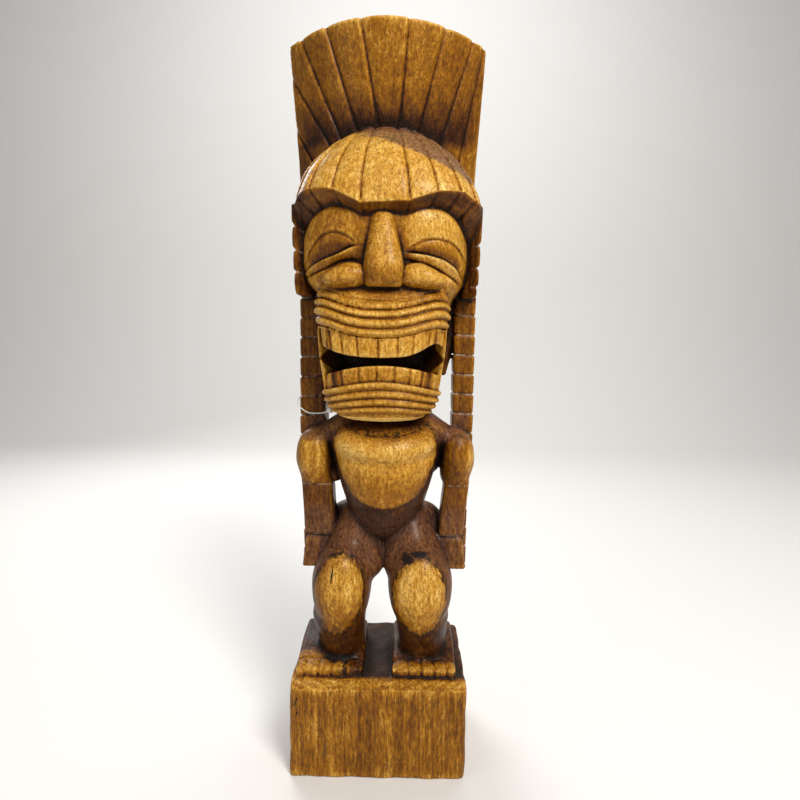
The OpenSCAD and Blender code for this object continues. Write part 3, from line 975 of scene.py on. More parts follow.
def blur(values, radius_mm):
    """A box blur along each axis, twice, which is close to a round one."""
    r = max(1, int(round(radius_mm / COARSE / GRID_GAP)))
    for axis in (0, 1, 2, 0, 1, 2):
        pad = [(0, 0)] * 3
        pad[axis] = (r + 1, r)
        total = np.cumsum(np.pad(values, pad, mode="edge"), axis=axis, dtype=np.float32)
        upper = np.take(total, range(2 * r + 1, total.shape[axis]), axis=axis)
        lower = np.take(total, range(0, total.shape[axis] - 2 * r - 1), axis=axis)
        values = (upper - lower) / (2 * r + 1)
    return values


def cell_edges():
    """The twelve edges of a grid cell: the axis each runs along, and its step from the cell's corner."""
    for axis in range(3):
        for pair in ((0, 0), (0, 1), (1, 0), (1, 1)):
            step = list(pair)
            step.insert(axis, 0)
            yield axis, step


def cell_points(sculpture, label):
    """One vertex per grid cell whose corners differ in region, and whether it lies on the skin."""
    field = sculpture.field
    cells = np.array(label.shape) - 1
    mixed = np.zeros(cells, bool)
    differ = [np.diff(label, axis=axis) != 0 for axis in range(3)]
    for axis, step in cell_edges():
        mixed |= differ[axis][tuple(slice(d, d + n) for d, n in zip(step, cells))]
    index = np.full(cells, -1, np.int32)
    corner = np.argwhere(mixed)
    index[mixed] = np.arange(len(corner))

    total = np.zeros((len(corner), 3))
    count = np.zeros(len(corner))
    inner_total = np.zeros((len(corner), 3))
    inner_count = np.zeros(len(corner))
    for axis, step in cell_edges():
        start = corner + step
        end = start.copy()
        end[:, axis] += 1
        fa, fb = field[tuple(start.T)], field[tuple(end.T)]
        la, lb = label[tuple(start.T)], label[tuple(end.T)]
        crosses = (la == 0) != (lb == 0)
        t = np.where(crosses, fa / np.where(fa == fb, 1, fa - fb), 0.5)
        point = start.astype(float)
        point[:, axis] += t
        total += point * crosses[:, None]
        count += crosses
        between = (la != lb) & ~crosses
        inner_total += point * between[:, None]
        inner_count += between
    on_skin = count > 0
    place = np.where(on_skin[:, None], total / np.maximum(count, 1)[:, None],
                     inner_total / np.maximum(inner_count, 1)[:, None])
    return index, sculpture.to_mm(place), on_skin


def region_quads(label, index):
    """One quad per grid edge whose ends differ in region, with the regions on both of its sides."""
    quads, owners, others = [], [], []
    for axis in range(3):
        b, c = (axis + 1) % 3, (axis + 2) % 3
        first = np.take(label, range(0, label.shape[axis] - 1), axis=axis)
        second = np.take(label, range(1, label.shape[axis]), axis=axis)
        where = np.argwhere(first != second)
        la, lb = first[tuple(where.T)], second[tuple(where.T)]
        ring = []
        for db, dc in ((-1, -1), (0, -1), (0, 0), (-1, 0)):
            cell = where.copy()
            cell[:, b] += db
            cell[:, c] += dc
            ring.append(index[tuple(cell.T)])
        quad = np.stack(ring, 1)
        for own, other, order in ((la, lb, (0, 1, 2, 3)), (lb, la, (3, 2, 1, 0))):
            keep = own > 0
            quads.append(quad[keep][:, order])
            owners.append(own[keep])
            others.append(other[keep])
    return np.concatenate(quads), np.concatenate(owners), np.concatenate(others)


def settle(sculpture, points, on_skin):
    """Moves the skin's vertices onto the field's surface, in short steps."""
    longest_step = 0.28 * COARSE
    skin = points[on_skin]
    for _ in range(2):
        value = sculpture.sample(sculpture.field, skin)
        slope = sculpture.slope(skin)
        step = -(value / np.maximum((slope ** 2).sum(1), 0.3))[:, None] * slope
        length = np.linalg.norm(step, axis=1, keepdims=True)
        skin = skin + step * np.minimum(1, longest_step / np.maximum(length, 1e-6))
    points = points.copy()
    points[on_skin] = skin
    return points


def skin_normals(points, quads, outer):
    """Normals of the outer skin alone, so that it shades as one surface across the regions."""
    q = quads[outer]
    across = np.cross(points[q[:, 2]] - points[q[:, 0]], points[q[:, 3]] - points[q[:, 1]])
    total = np.zeros_like(points)
    for k in range(4):
        for axis in range(3):
            total[:, axis] += np.bincount(q[:, k], across[:, axis], len(points))
    return total / np.maximum(np.linalg.norm(total, axis=1, keepdims=True), 1e-9)


# ---------- what each vertex knows about its place, for the materials ----------

# How light the wood is in each region, 0 for the darkest stain and 1 for bare wood.
TONES = {
    "base_block": 0.53, "right_foot": 0.22, "left_foot": 0.22, "right_shin": 0.21, "left_shin": 0.21,
    "right_thigh": 0.34, "left_thigh": 0.35, "pelvis": 0.14, "torso": 0.17, "shoulders": 0.30,
    "right_upper_arm": 0.50, "left_upper_arm": 0.42, "right_forearm": 0.34, "left_forearm": 0.44,
    "right_hand": 0.41, "left_hand": 0.46, "head": 0.71, "right_eye": 0.66, "left_eye": 0.60,
    "nose": 0.66, "upper_lip": 0.72, "upper_teeth": 0.78, "lower_teeth": 0.70, "chin": 0.66,
    "cap": 0.80, "right_side_hair": 0.24, "left_side_hair": 0.24, "crest": 0.57,
    "right_lock": 0.37, "left_lock": 0.44,
}
# The bare patch on the chest: height over the collar, half width.
CHEST_PATCH = (
    (-46, 0), (-45, 8), (-42.5, 15), (-38, 22.5), (-30, 28), (-20, 32.5), (-10, 35.8), (1, 35.3), (9, 30),
)


def oval(x, z, at, r, lean=0.0):
    """1 in the middle of an oval and 0 on its edge."""
    return 1 - np.hypot((x - at[0] - lean * (z - at[1])) / r[0], (z - at[1]) / r[1])


def sanded_mask(p):
    """Above 0 where the staining was sanded off again: chest, knees, worn edges."""
    x, y, z = p.T
    heights, half_ws = zip(*CHEST_PATCH)
    chest_half = flow(z - COLLAR_Z, heights, half_ws, 1)
    neckline = COLLAR_Z + 2.8 + 0.0066 * x * x
    chest = np.minimum((chest_half - np.abs(x - 0.6)) / 12, (neckline - z) / 9)
    chest = np.minimum(chest, np.minimum((z - COLLAR_Z + 45.5) / 9, (-y - 16) / 8))
    right_knee = oval(x, z, (-29.8, ANKLE_Z + 48.5), (17.5, 28), 0.08)
    left_knee = oval(x, z, (25.5, ANKLE_Z + 48), (18.4, 26.5))
    knees = np.minimum(1.5 * np.maximum(right_knee, left_knee), (-y - 24) / 8)
    ledge = np.minimum((z - BASE_Z + 3.5) / 9, (-y - 37.5) / 9) + 0.10
    ledge = np.minimum(ledge, (BASE_Z + 1.5 - z) / 6)
    on_foot = z < BASE_Z + 12
    worn_toes = np.minimum(oval(x, y, (-47, -34), (23, 18)) * 0.6, (z - BASE_Z + 5) / 8) - 1 * ~on_foot
    return np.max([chest, knees, np.where(on_foot, ledge, -1), worn_toes], axis=0)


def bare_level(p):
    """How light the sanded wood is: the chest is painted darker downwards as shade, the knees lighten
    upwards, the right knee is painted darker as the side away from the light, and worn edges are duller
    than knees.
    """
    x, y, z = p.T
    # Painted shade: the chest patch darkens downwards, as under light from above.
    chest = 0.80 - 0.20 * ramp(z, COLLAR_Z - 10, COLLAR_Z - 34)
    chest = chest - 0.14 * ramp(z, COLLAR_Z - 6, COLLAR_Z + 3)
    # The right knee (x < 0) is painted a little darker, as shade on the side away from the light.
    knees = 0.66 + 0.15 * ramp(z, ANKLE_Z + 30, ANKLE_Z + 56) - 0.06 * (x < 0)
    knees = knees + 0.03 * np.sin(1.1 * np.hypot((np.abs(x) - 25) * 1.5, z - ANKLE_Z - 52))
    knees = knees - 0.12 * ramp(x, -30, -44) * (x < 0)
    feet = 0.64 + 0.08 * ramp(y, -36, -41)
    level = np.where(z > WAIST_Z - 2, chest, np.where(z > BASE_Z + 14, knees, feet))
    return level - 0.15 * ramp(sanded_mask(p), 0.45, 0.0)


def shaded_tone(x, y, z, tone):
    """Painted shade: dark inside the mouth, under the brim and behind the face."""
    mouth_half = np.interp(z - MOUTH_Z, (-16, -6, 2, 9), (32, 34, 42.5, 36.5))
    in_mouth = ramp(y, -39, -34) * ramp(mouth_half - np.abs(x - MOUTH_X), -0.5, 1.5) * ramp(y, 8, 2)
    in_mouth = in_mouth * span(z, CHIN_Z + 16, CHIN_Z + 24, MOUTH_Z + 20, MOUTH_Z + 26)
    tone = tone + (0.09 - tone) * in_mouth
    under_brim = ramp(brim_z(x) - z, 0.0, 1.2) * ramp(np.abs(under_brim_y(x, z) - y), 3.0, 1.8)
    side_front = ramp(np.abs(x), 55, 58) * ramp(y, 12, 6) * ramp(z, BROW_Z + 8, BROW_Z + 2)
    under_brim = np.maximum(under_brim, side_front) * (z < BROW_Z + 14) * (z > NOSE_Z - 6)
    tone = tone + (0.25 + 0.18 * ramp(x, 26, -4) * ramp(y, -20, -34) - tone) * under_brim
    behind = ramp(y, -14, 2) * (z > CHIN_Z) * ramp(z, BROW_Z + 6, BROW_Z - 4) * (np.abs(x) < 47.5)
    return tone + (0.26 - tone) * behind


def body_tone(x, y, z, tone):
    """Darker on top of the base, lighter at the toes, neck and upper arms."""
    tone = tone - 0.42 * ramp(z, BASE_Z - 2, BASE_Z - 0.3) * (z < BASE_Z + 4) * ramp(y, -37, -34)
    toes = ramp(y, -25, -32) * ramp(z, BASE_Z + 1, BASE_Z + 3) * (z < BASE_Z + 12)
    tone = tone + (0.40 * ramp(x, -18, -26) + 0.38 * ramp(x, -12, 0)) * toes
    neck = ramp(z, COLLAR_Z, COLLAR_Z + 5) * (z < CHIN_Z + 4) * ramp(y, -4, -14)
    tone = tone + 0.38 * neck
    arm = np.exp(-((x + 51) / 10) ** 4 - ((z - COLLAR_Z + 15) / 15) ** 4) * ramp(y, 2, -8)
    outer_arm = np.exp(-((x - 60) / 6) ** 2 - ((z - COLLAR_Z + 15) / 13) ** 2) * ramp(y, 2, -8)
    return tone + 0.20 * arm + 0.36 * outer_arm


def face_tone(x, y, z, tone):
    """Painted light and shade on the face: lighter on the left cheek and darker on the right, a painted
    highlight on the nose's right wing, and painted shade on the nose's lower part and right flank and on
    the lids. Also darker between the teeth and over the lip.
    """
    on_face = span(z, NOSE_Z - 2, NOSE_Z + 6, BROW_Z, BROW_Z + 4) * ramp(y, -20, -28)
    # Painted light and shade: the face's left side is lighter and its right side darker, as light falling
    # from the left.
    tone = tone + on_face * (0.12 * ramp(x, 8, 24) - 0.09 * ramp(x, -4, -20))
    on_wing = span(z, NOSE_Z + 2, NOSE_Z + 5, NOSE_Z + 15, NOSE_Z + 18) * ramp(y, -38, -42)
    # Painted highlight on the upper face of the nose's right wing.
    tone = tone + 0.12 * on_wing * (x < -13)
    nose_side = ramp(y, -42, -45) * ramp(np.abs(x + 1.5), 16, 13) * ramp(z, BROW_Z - 2, BROW_Z - 8)
    # Painted shade on the nose's lower part and its right flank.
    shade = 0.20 * ramp(z, NOSE_Z + 18, NOSE_Z + 2) + 0.12 * ramp(x, -3, -10)
    tone = tone + nose_side * on_face * (0.08 - shade)
    for side in (RIGHT, LEFT):
        u = x * side
        arc, crease = (eye_line(side, name, u) for name in ("arc", "crease"))
        on_lid = (arc > z) * (z > crease) * ramp(y, -20, -24) * (u > 10)
        down = (arc - z) / np.maximum(arc - crease, 1)
        # Painted shade on the lower part of each lid, towards its crease.
        tone = tone - (0.20 if side == RIGHT else 0.28) * on_lid * ramp(down, 0.2, 0.8)
    over_bite, over_gums = z - mouth_bow(TOOTH_BOW, x) - MOUTH_Z, z + 0.0052 * (x + 1.8) ** 2 - CHIN_Z
    under_lip = MOUTH_Z + 14.6 + mouth_bow(LIP_BOW, x) - z
    upper = (over_bite > 2) * (under_lip > 0) * tooth_lines(x, upper_fan(z), UPPER_TOOTH_LINES)
    lower = (over_gums > 30.5) * (z < MOUTH_Z + 1) * tooth_lines(x, lower_fan(z), LOWER_TOOTH_LINES)
    tone = tone - 0.20 * ramp(y, -32, -36) * np.maximum(upper, lower)
    muzzle = span(z, MOUTH_Z + 34, MOUTH_Z + 42, NOSE_Z - 3, NOSE_Z + 3) * ramp(y, -30, -36)
    return tone - 0.10 * muzzle


def hair_tone(x, y, z, tone):
    """Darker at the dome's right edge, at the foot of the crest and towards its sides."""
    dome_edge = span(z, BROW_Z + 2, BROW_Z + 6, CROWN_Z - 2, CROWN_Z + 3)
    tone = tone - 0.20 * dome_edge * ramp(x, -40, -60) * ramp(y, -46, -36)
    on_crest = ramp(z, CROWN_Z - 8, CROWN_Z)
    # Painted light on the crest: shade at its foot and towards its sides, a little lighter near its top.
    lit = -0.34 * ramp(z, CROWN_Z + 30, CROWN_Z - 2) - 0.05 * ramp(x, -15, -50) - 0.09 * ramp(x, 14, 40)
    lit = lit + 0.05 * ramp(z, CROWN_Z + 40, CROWN_Z + 58)
    return tone + on_crest * lit * ramp(y, 26, 10)


def local_tone(p, tone):
    """Places inside a region that are darker or lighter than the rest of it."""
    for area in (shaded_tone, body_tone, face_tone, hair_tone):
        tone = area(*p.T, tone)
    return tone


def dry_lines(p, on_arm, on_lock):
    """Above 0 in the thin grooves where old polish has dried white: locks, wrists and elbows."""
    x, y, z = p.T
    lines = 0
    for side in (RIGHT, LEFT):
        u = x * side
        own = (u > 0) * (y < 24)
        fold = lock_fold(side, x, z)
        lines = lines + own * on_lock * groove(np.abs(fold) - BAND_H / 2, 0.75)
        wrist, elbow = groove(z - WRIST_Z + 0.4, 1.0), groove(z - ELBOW_Z - 0.6, 0.8)
        lines = lines + own * on_arm * (wrist + 0.6 * elbow)
        for height in HAIR_NOTCHES[side]:
            line = ray_distance(x, z, (side * RIM_HALF_W, NOSE_Z + height))
            lines = lines + 0.7 * (u > 57) * (z > NOSE_Z - 5) * (z < BROW_Z) * groove(line, 0.6)
    return np.clip(lines, 0, 1)


def burnt_spots(p):
    """Above 0 where the wood is almost black: neck, left knee, right foot and a corner of the base."""
    x, y, z = p.T
    neck = 0.42 * (1 - np.abs(z - COLLAR_Z - 5 - 0.006 * x * x) / 7)
    neck = neck * ramp(np.abs(x), 38, 30) * ramp(y, -8, -16)
    spots = oval(x, z, (17, ANKLE_Z + 73.5), (6.5, 4.5)), oval(x, z, (25, ANKLE_Z + 76.5), (9, 2.6))
    knee = np.minimum(np.maximum(*spots), (-y - 12) / 4)
    instep = oval(x, y, (-31, -27), (17, 7)) * (z > BASE_Z - 1) * (z < BASE_Z + 12)
    crack = np.minimum(oval(x, z, (-33.5, ANKLE_Z + 64), (0.7, 8), 0.12), (-y - 20) / 4)
    corner = 0.42 * np.minimum(oval(x, z, (-58, BASE_Z - 16), (9, 26)), (-y - 44) / 3)
    return np.clip(np.max([neck, knee, 0.8 * instep, 2 * crack, corner], axis=0), 0, 1)


def plum_patch_and_sheen(p, on_cap):
    """Where the wood is tinted purple: a darker patch on the dome's upper left, the shoulders' tops, and
    the thighs, where the tint is a painted sheen.
    """
    x, y, z = p.T
    dome_line = CROWN_Z - 11.5 - 0.42 * np.maximum(x + 8, 0)
    dome = on_cap * ramp(z - dome_line, -1.2, 1.2) * ramp(x, -26, -10)
    shoulder = ramp(z, COLLAR_Z - 5, COLLAR_Z - 1) * (z < CHIN_Z + 2)
    shoulder = shoulder * span(np.abs(x), 26, 34, 56, 62)
    # Painted sheen: the thighs' purple cast stands in for a reflection of cool light.
    leg = span(z, ANKLE_Z + 52, ANKLE_Z + 64, WAIST_Z - 12, WAIST_Z) * ramp(y, 20, 0)
    return np.clip(np.max([dome, 0.6 * shoulder, 0.5 * leg], axis=0), 0, 1)


def attributes(sculpture, points, normals):
    """Named values per vertex, which the materials read."""
    solid = np.clip(0.5 - sculpture.field / 0.8, 0, 1).astype(np.float32)
    lifted = points + normals * 0.4
    flat_share = 0.42  # how much of the room round a point is wood, where the skin is flat

    def sunk(radius_mm, gain):
        share = sculpture.sample(blur(solid, radius_mm), lifted)
        return np.clip((share - flat_share) * gain, -1, 1)

    def within(*words):
        return np.clip(3 * sculpture.sample(sculpture.mask(words), points), 0, 1)

    tone_of = np.array([0.0] + [TONES[n] for n in sculpture.names], np.float32)
    fade_mm = 1.4
    spread = np.maximum(sculpture.sample(blur(solid, fade_mm), points), 0.02)
    tone = sculpture.sample(blur(tone_of[sculpture.label] * solid, fade_mm), points) / spread
    return {
        # recess and hollow measure how sunk each point is; the wood darkens with them, partly as staining
        # and partly as painted shade.
        "recess": sunk(1.6, 4.5),
        "hollow": sunk(7.0, 3.2),
        "tone": local_tone(points, tone),
        "sanded": np.clip(sanded_mask(points), -1, 1),
        "bare": bare_level(points),
        "dry": dry_lines(points, within("forearm", "hand"), within("t_lock")),
        "burnt": burnt_spots(points),
        "plum": plum_patch_and_sheen(points, within("cap")),
    }


# ---------- materials ----------

class Nodes:
    """A short way to write a node tree."""

    def __init__(self, name):
        self.material = bpy.data.materials.new(name)
        self.material.use_nodes = True
        self.tree = self.material.node_tree
        self.shader = self.tree.nodes["Principled BSDF"]

    def put(self, value, socket):
        if isinstance(value, bpy.types.NodeSocket):
            self.tree.links.new(value, socket)
        elif value is not None:
            socket.default_value = value

    def finish(self, inputs):
        """Fills the sockets of the material's surface."""
        for key, value in inputs.items():
            self.put(value, self.shader.inputs[key])

    def node(self, kind, inputs, **settings):
        """A new node. inputs maps the names or numbers of its sockets to what goes into them."""
        node = self.tree.nodes.new("ShaderNode" + kind)
        for name, value in settings.items():
            setattr(node, name, value)
        for key, value in inputs.items():
            self.put(value, node.inputs[key])
        return node

    def math(self, operation, a, b=None):
        return self.node("Math", {0: a, 1: b}, operation=operation).outputs[0]

    def add(self, a, b):
        return self.math("ADD", a, b)

    def times(self, a, b):
        return self.math("MULTIPLY", a, b)

    def swing(self, value, strength):
        """A value from 0 to 1, as a change to both sides of nothing."""
        return self.times(self.math("SUBTRACT", value, 0.5), strength)

    def remap(self, value, start, end, low_out=0.0, high_out=1.0):
        ends = {"From Min": start, "From Max": end, "To Min": low_out, "To Max": high_out}
        node = self.node("MapRange", {"Value": value} | ends, interpolation_type="SMOOTHSTEP")
        return node.outputs["Result"]

    def mix(self, factor, a, b):
        return self.node("Mix", {0: factor, 6: a, 7: b}, data_type="RGBA").outputs[2]

    def ramp(self, value, stops):
        node = self.node("ValToRGB", {0: value})
        elements = node.color_ramp.elements
        elements[0].position, elements[0].color = stops[0][0], stops[0][1]
        elements[1].position, elements[1].color = stops[-1][0], stops[-1][1]
        for position, colour in stops[1:-1]:
            elements.new(position).color = colour
        return node.outputs[0]

    def place(self, scale=(1, 1, 1), offset=(0, 0, 0)):
        coords = self.node("TexCoord", {}).outputs["Object"]
        return self.node("Mapping", {"Vector": coords, "Scale": scale, "Location": offset}).outputs[0]

    def noise(self, vector, scale, detail=3.0, roughness=0.55, distortion=0.0):
        inputs = {"Vector": vector, "Scale": scale, "Detail": detail, "Roughness": roughness}
        return self.node("TexNoise", inputs | {"Distortion": distortion}).outputs["Fac"]

    def attribute(self, name):
        return self.node("Attribute", {}, attribute_name=name).outputs["Fac"]


def srgb(r, g, b):
    """A colour given as 0 to 255 on screen."""
    def linear(v):
        v = v / 255
        return v / 12.92 if v <= 0.04045 else ((v + 0.055) / 1.055) ** 2.4
    return (linear(r), linear(g), linear(b), 1.0)


def wood(name, gloss=0.40, grain=1.0, streaks=1.0, groove_stain_and_shade=0.46, edges=0.14, outline=0.88):
    """Oiled wood with a vertical grain, darkened in its recesses by settled staining and by painted
    shade, and sanded light on its patches.
    """
    n = Nodes(name)
    along = n.place(scale=(1, 1, 0.05))
    short = n.place(scale=(1, 1, 0.55 - 0.2 * grain))
    plain = n.place()

    fibre = n.noise(along, 820, 4, 0.62)
    broad = n.noise(along, 170, 3, 0.55, 0.5)
    mottle = n.noise(short, 520, 4, 0.68)
    patch = n.noise(plain, 42, 4, 0.6)
    pores = n.remap(n.noise(short, 1150, 2, 0.5), 0.56, 0.68)
    stipple = n.remap(n.noise(plain, 900, 3, 0.7), 0.52, 0.62)
    stipple = n.times(stipple, n.remap(patch, 0.36, 0.62, 0.25, 1.0))
    speck = n.remap(n.noise(plain, 520, 3, 0.65), 0.60, 0.70)

    wave = {"Scale": 62, "Distortion": 3.4, "Detail": 2, "Detail Scale": 0.6}
    wave["Vector"] = n.place(scale=(1, 1, 0.09), offset=(0.012, -0.03, 0))
    year_rings = n.node("TexWave", wave, wave_type="RINGS", rings_direction="Z").outputs["Fac"]

    recess, hollow, sanded, tone = (n.attribute(key) for key in ("recess", "hollow", "sanded", "tone"))

    frayed = n.noise(short, 150, 4, 0.7)
    edge = n.add(sanded, n.add(n.swing(mottle, 0.22), n.swing(frayed, 0.28)))
    bare = n.remap(edge, -0.02, 0.035)
    level = n.math("MAXIMUM", tone, n.times(bare, n.attribute("bare")))

    # Staining settles in the grooves and thins on the high edges; the grooves are also painted darker as
    # shade.
    level = n.math("SUBTRACT", level, n.times(n.remap(recess, 0.15, 0.90), groove_stain_and_shade))
    # Painted shade: broad hollows, such as the armpits, the neck and under the brim, are darker.
    level = n.math("SUBTRACT", level, n.times(n.remap(hollow, 0.25, 1.0), 0.36))
    # High edges are lighter, partly as wear and partly as painted highlight.
    level = n.add(level, n.times(n.remap(recess, -0.10, -0.8, 0.0, 1.0), edges))
    for pattern, strength in (
        (patch, 0.34), (broad, 0.40 * streaks), (fibre, 0.46 * grain), (mottle, 0.72),
        (year_rings, 0.08 * streaks),
    ):
        level = n.add(level, n.swing(pattern, strength))

    colour = n.ramp(level, (
        (0.0, srgb(20, 7, 1)),
        (0.2, srgb(58, 25, 3)),
        (0.4, srgb(108, 63, 9)),
        (0.6, srgb(154, 99, 14)),
        (0.8, srgb(206, 152, 58)),
        (1.0, srgb(244, 200, 112)),
    ))
    # The purple tint: a patch on the dome, the shoulders' tops, and a painted sheen on the thighs.
    plum = n.times(n.attribute("plum"), n.math("SUBTRACT", 1.0, n.times(bare, 0.9)))
    purple = n.mix(n.remap(mottle, 0.35, 0.65), srgb(72, 44, 36), srgb(124, 88, 74))
    colour = n.mix(n.times(plum, 0.80), colour, purple)
    rim = n.remap(n.math("ABSOLUTE", n.add(edge, -0.01)), 0.03, 0.14, 1.0, 0.0)
    rim = n.times(rim, n.remap(n.noise(short, 330, 3, 0.6), 0.44, 0.54))
    rim = n.times(rim, n.remap(n.math("ABSOLUTE", sanded), 0.16, 0.30, 1.0, 0.0))
    grime = n.times(n.remap(frayed, 0.52, 0.66), n.remap(patch, 0.50, 0.62))
    burnt = n.add(n.attribute("burnt"), n.swing(mottle, 1.9))
    burnt = n.times(n.remap(burnt, 0.32, 0.44), n.remap(n.attribute("burnt"), 0.0, 0.1))
    dry = n.times(n.attribute("dry"), n.remap(n.noise(plain, 240, 2), 0.40, 0.56))
    for mark, strength, tint in (  # each lies over the ones before it
        (pores, 0.50, (62, 32, 10)), (stipple, 0.66, (84, 50, 19)), (speck, 0.50, (76, 44, 15)),
        (rim, outline, (34, 18, 9)), (grime, 0.45 * streaks, (70, 56, 30)),
        (burnt, 0.92, (14, 11, 11)), (dry, 0.75, (190, 170, 150)),
    ):
        colour = n.mix(n.times(mark, strength), colour, srgb(*tint))

    rough = n.add(n.times(mottle, 0.22), gloss - 0.11)
    rough = n.add(rough, n.times(n.remap(hollow, 0.2, 1.0), 0.3))
    height = n.math("SUBTRACT", n.times(mottle, 0.9), n.times(pores, 0.5))
    height = n.add(height, n.times(fibre, 0.5 * grain))
    bump = n.node("Bump", {"Strength": 0.6, "Distance": 0.0007, "Height": height}).outputs[0]
    n.finish({
        "Base Color": colour, "Roughness": rough, "Normal": bump,
        "Specular IOR Level": 0.14, "Coat Weight": 0.08, "Coat Roughness": 0.18,
    })
    return n.material


def nylon(name, white):
    n = Nodes(name)
    bright, dull = (white, white, white * 0.98, 1), (white * 0.9, white * 0.9, white * 0.86, 1)
    n.finish({
        "Base Color": n.mix(n.noise(n.place(), 900), bright, dull),
        "Roughness": n.remap(n.noise(n.place(), 300), 0.2, 0.8, 0.22, 0.38),
        "Subsurface Weight": 0.2, "Subsurface Scale": 0.001,
    })
    return n.material


# ---------- pieces ----------

def add_object(name, data):
    item = bpy.data.objects.new(name, data)
    bpy.context.scene.collection.objects.link(item)
    return item


def smooth_faces(mesh):
    mesh.polygons.foreach_set("use_smooth", np.ones(len(mesh.polygons), bool))


def region_mesh(name, skin, values, material):
    """One region's closed mesh. Its outer faces shade smoothly and its cut faces shade flat."""
    points, normals, quads, outer = skin
    used, local = np.unique(quads, return_inverse=True)
    local = local.reshape(-1, 4)
    mesh = bpy.data.meshes.new(name)
    mesh.vertices.add(len(used))
    mesh.vertices.foreach_set("co", (points[used] * MM).astype(np.float32).ravel())
    mesh.loops.add(local.size)
    mesh.loops.foreach_set("vertex_index", local.ravel().astype(np.int32))
    mesh.polygons.add(len(local))
    mesh.polygons.foreach_set("loop_start", np.arange(0, local.size, 4, dtype=np.int32))
    mesh.update(calc_edges=True)
    mesh.validate(clean_customdata=False)
    smooth_faces(mesh)
    face = np.cross(points[quads[:, 2]] - points[quads[:, 0]], points[quads[:, 3]] - points[quads[:, 1]])
    face /= np.maximum(np.linalg.norm(face, axis=1, keepdims=True), 1e-9)
    corner = np.where(outer[:, None, None], normals[quads], face[:, None, :])
    if len(mesh.polygons) == len(local):
        mesh.normals_split_custom_set(corner.reshape(-1, 3).tolist())
    for key, v in values.items():
        layer = mesh.attributes.new(key, "FLOAT", "POINT")
        layer.data.foreach_set("value", v[used].astype(np.float32))
    mesh.materials.append(material)
    return add_object(name, mesh)


def place_piece(piece, node):
    """Everything is on one body, as nothing on a carving moves."""
    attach(piece, "root")
    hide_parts(node)


def slot_of(node):
    return {row["node"]: row["material_slot"] for row in frame["record"]["subparts"]}[node]


def carved_pieces():
    sculpture = Sculpture(regions())
    lid_depth = 5
    for word, side in SIDES.items():
        box = mirrored_box(side, ((8, -50, NOSE_Z), (60, -20, BROW_Z)))
        own_layer(sculpture, word + "_eye", eye(side), box, lid_depth)
    for name in ("upper_lip", "right_side_hair", "left_side_hair", "right_eye", "left_eye", "head"):
        join_islands(sculpture, name)
    part_edges(sculpture)
    label = sculpture.solid_label()
    index, points, on_skin = cell_points(sculpture, label)
    quads, owners, others = region_quads(label, index)
    points = settle(sculpture, points, on_skin)
    outer = others == 0
    normals = skin_normals(points, quads, outer)
    values = attributes(sculpture, points, normals)
    woods = {
        "wood_sanded": wood("wood_sanded", gloss=0.38, grain=0.35, streaks=0.5, groove_stain_and_shade=0.36),
        # The crest's high edges are painted lighter than elsewhere, partly as highlight on its lit groove
        # flanks.
        "wood_crest": wood("wood_crest", gloss=0.46, grain=0.4, streaks=0.55, edges=0.24),
        "wood_stained": wood("wood_stained", gloss=0.40, grain=0.9, streaks=0.8),
        "wood_base": wood("wood_base", gloss=0.55, grain=1.4, streaks=1.1, outline=0.15),
    }
    for number, name in enumerate(sculpture.names, 1):
        own = owners == number
        slot = slot_of(name)
        skin = (points, normals, quads[own], outer[own])
        place_piece(region_mesh(name + "_carved", skin, values, woods[slot]), name)


def tag_thread():
    """The nylon loop round the right lock, swept along the CAD thread's own route."""
    route = (
        (-41.8, -6.4, 245.9), (-44, -5, 245), (-48, 0, 244), (-52, 3.5, 243.5), (-57, 4.2, 244),
        (-62, 4.6, 247), (-65.6, 8, 250), (-66.2, 14, 252), (-66.2, 20, 253), (-65.4, 26, 254),
        (-61, 30, 254.5), (-55, 30.5, 254.5), (-49, 30, 254), (-45, 26.5, 253), (-44, 20, 252),
        (-43.8, 12, 251), (-43.4, 5, 250), (-42.4, -1, 249.5), (-41.3, -5.4, 248.9),
    )
    thread_d = 0.9
    curve = bpy.data.curves.new("tag_loop", "CURVE")
    curve.dimensions = "3D"
    curve.bevel_depth = thread_d / 2 * MM
    curve.bevel_resolution = 3
    curve.use_fill_caps = True
    spline = curve.splines.new("BEZIER")
    spline.bezier_points.add(len(route) - 1)
    for point, at in zip(spline.bezier_points, route):
        point.co = Vector(at) * MM
        point.handle_left_type = point.handle_right_type = "AUTO"
    loop = add_object("tag_loop", curve)
    mesh = bpy.data.meshes.new_from_object(loop.evaluated_get(bpy.context.evaluated_depsgraph_get()))
    bpy.data.objects.remove(loop)
    ends = bmesh.new()
    ends.from_mesh(mesh)
    bmesh.ops.remove_doubles(ends, verts=ends.verts, dist=0.001 * MM)
    ends.to_mesh(mesh)
    ends.free()
    thread = add_object("tag_loop", mesh)
    smooth_faces(mesh)
    mesh.materials.clear()
    mesh.materials.append(nylon("nylon_thread", 0.86))
    place_piece(thread, "tag_thread")
    path = [[v * MM for v in point] for point in route]
    length = sum(math.dist(a, b) for a, b in zip(path[:-1], path[1:]))
    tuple(path[0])


def tag_clasp():
    """The clasp that closes the loop, a little wider than it is deep."""
    low_corner, high_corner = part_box("tag_clasp")
    radius = (high_corner[0] - low_corner[0]) / 2
    bpy.ops.mesh.primitive_uv_sphere_add(segments=32, ring_count=20, radius=radius,
                                         location=(low_corner + high_corner) / 2)
    clasp = bpy.context.object
    clasp.name = "tag_bead"
    clasp.data.transform(Matrix.Diagonal((1.1, 0.9, 0.95, 1)))
    smooth_faces(clasp.data)
    clasp.data.materials.append(nylon("nylon_clasp", 0.8))
    place_piece(clasp, "tag_clasp")


# ---------- camera, light and floor ----------

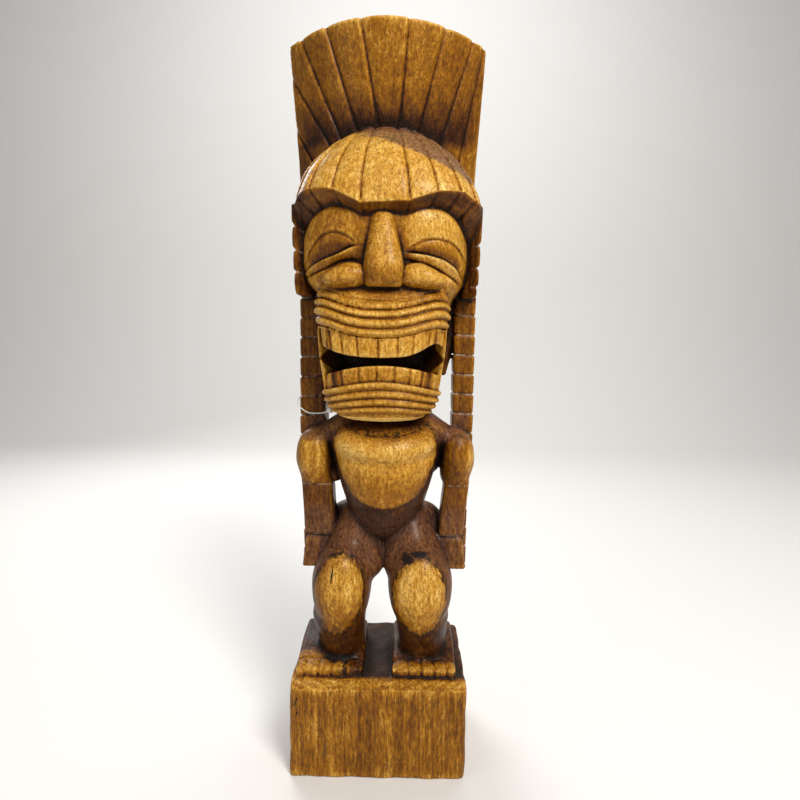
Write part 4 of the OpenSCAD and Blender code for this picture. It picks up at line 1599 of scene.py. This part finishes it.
def camera():
    """A wide lens close in front of the figure, at the height of its mouth and turned a little down."""
    data = bpy.data.cameras.new("camera")
    data.sensor_width = 36
    data.lens = 26.62
    data.clip_start = 0.01
    item = add_object("camera", data)
    stand = (0.01363, -0.42304, 0.29340)
    pitch, yaw, roll = (math.radians(v) for v in (-5.27, 0.50, 0.84))
    turn = Matrix.Rotation(yaw, 4, "Z") @ Matrix.Rotation(math.pi / 2 + pitch, 4, "X")
    turn = turn @ Matrix.Rotation(roll, 4, "Z")
    item.matrix_world = Matrix.Translation(stand) @ turn
    bpy.context.scene.camera = item


def area_light(name, at, aim, size, power, colour=(1, 1, 1)):
    data = bpy.data.lights.new(name, "AREA")
    data.shape = "DISK"
    data.size = size
    data.energy = power
    data.color = colour
    item = add_object(name, data)
    item.location = at
    item.rotation_euler = (Vector(aim) - Vector(at)).to_track_quat("-Z", "Y").to_euler()


def lights():
    world = bpy.data.worlds.new("studio")
    bpy.context.scene.world = world
    world.use_nodes = True
    background = world.node_tree.nodes["Background"]
    background.inputs["Color"].default_value = (0.98, 0.97, 0.96, 1)
    background.inputs["Strength"].default_value = 0.26
    middle = (0, 0, 0.27)
    area_light("key", (0.50, -0.90, 1.15), middle, 0.5, 18.5, (1.0, 0.97, 0.92))
    area_light("fill", (-0.9, -0.7, 0.6), middle, 0.9, 2, (0.96, 0.98, 1.0))
    area_light("back", (-0.5, 0.9, 0.9), middle, 0.6, 6)
    area_light("backdrop", (0, 0.55, 1.7), (0, 1.8, 0.5), 1.2, 16)


def floor():
    """A plain floor that bends up into a wall behind the figure."""
    mesh = bpy.data.meshes.new("floor")
    reach, depth, rise, bend = 3.0, 1.2, 2.4, 0.6
    profile = [(-reach, 0.0)]
    for a in np.linspace(0, math.pi / 2, 16):
        profile.append((depth + bend * math.sin(a), bend * (1 - math.cos(a))))
    profile.append((depth + bend, rise))
    verts = [(x, y, z) for y, z in profile for x in (-reach, reach)]
    faces = [(2 * i, 2 * i + 1, 2 * i + 3, 2 * i + 2) for i in range(len(profile) - 1)]
    mesh.from_pydata(verts, [], faces)
    smooth_faces(mesh)
    paint = Nodes("floor")
    paint.finish({"Base Color": (0.78, 0.77, 0.75, 1), "Roughness": 0.75})
    mesh.materials.append(paint.material)
    add_object("floor", mesh)


camera()
carved_pieces()
tag_thread()
tag_clasp()
lights()
floor()
bpy.context.scene.view_settings.view_transform = "Standard"

bpy.context.view_layer.update()
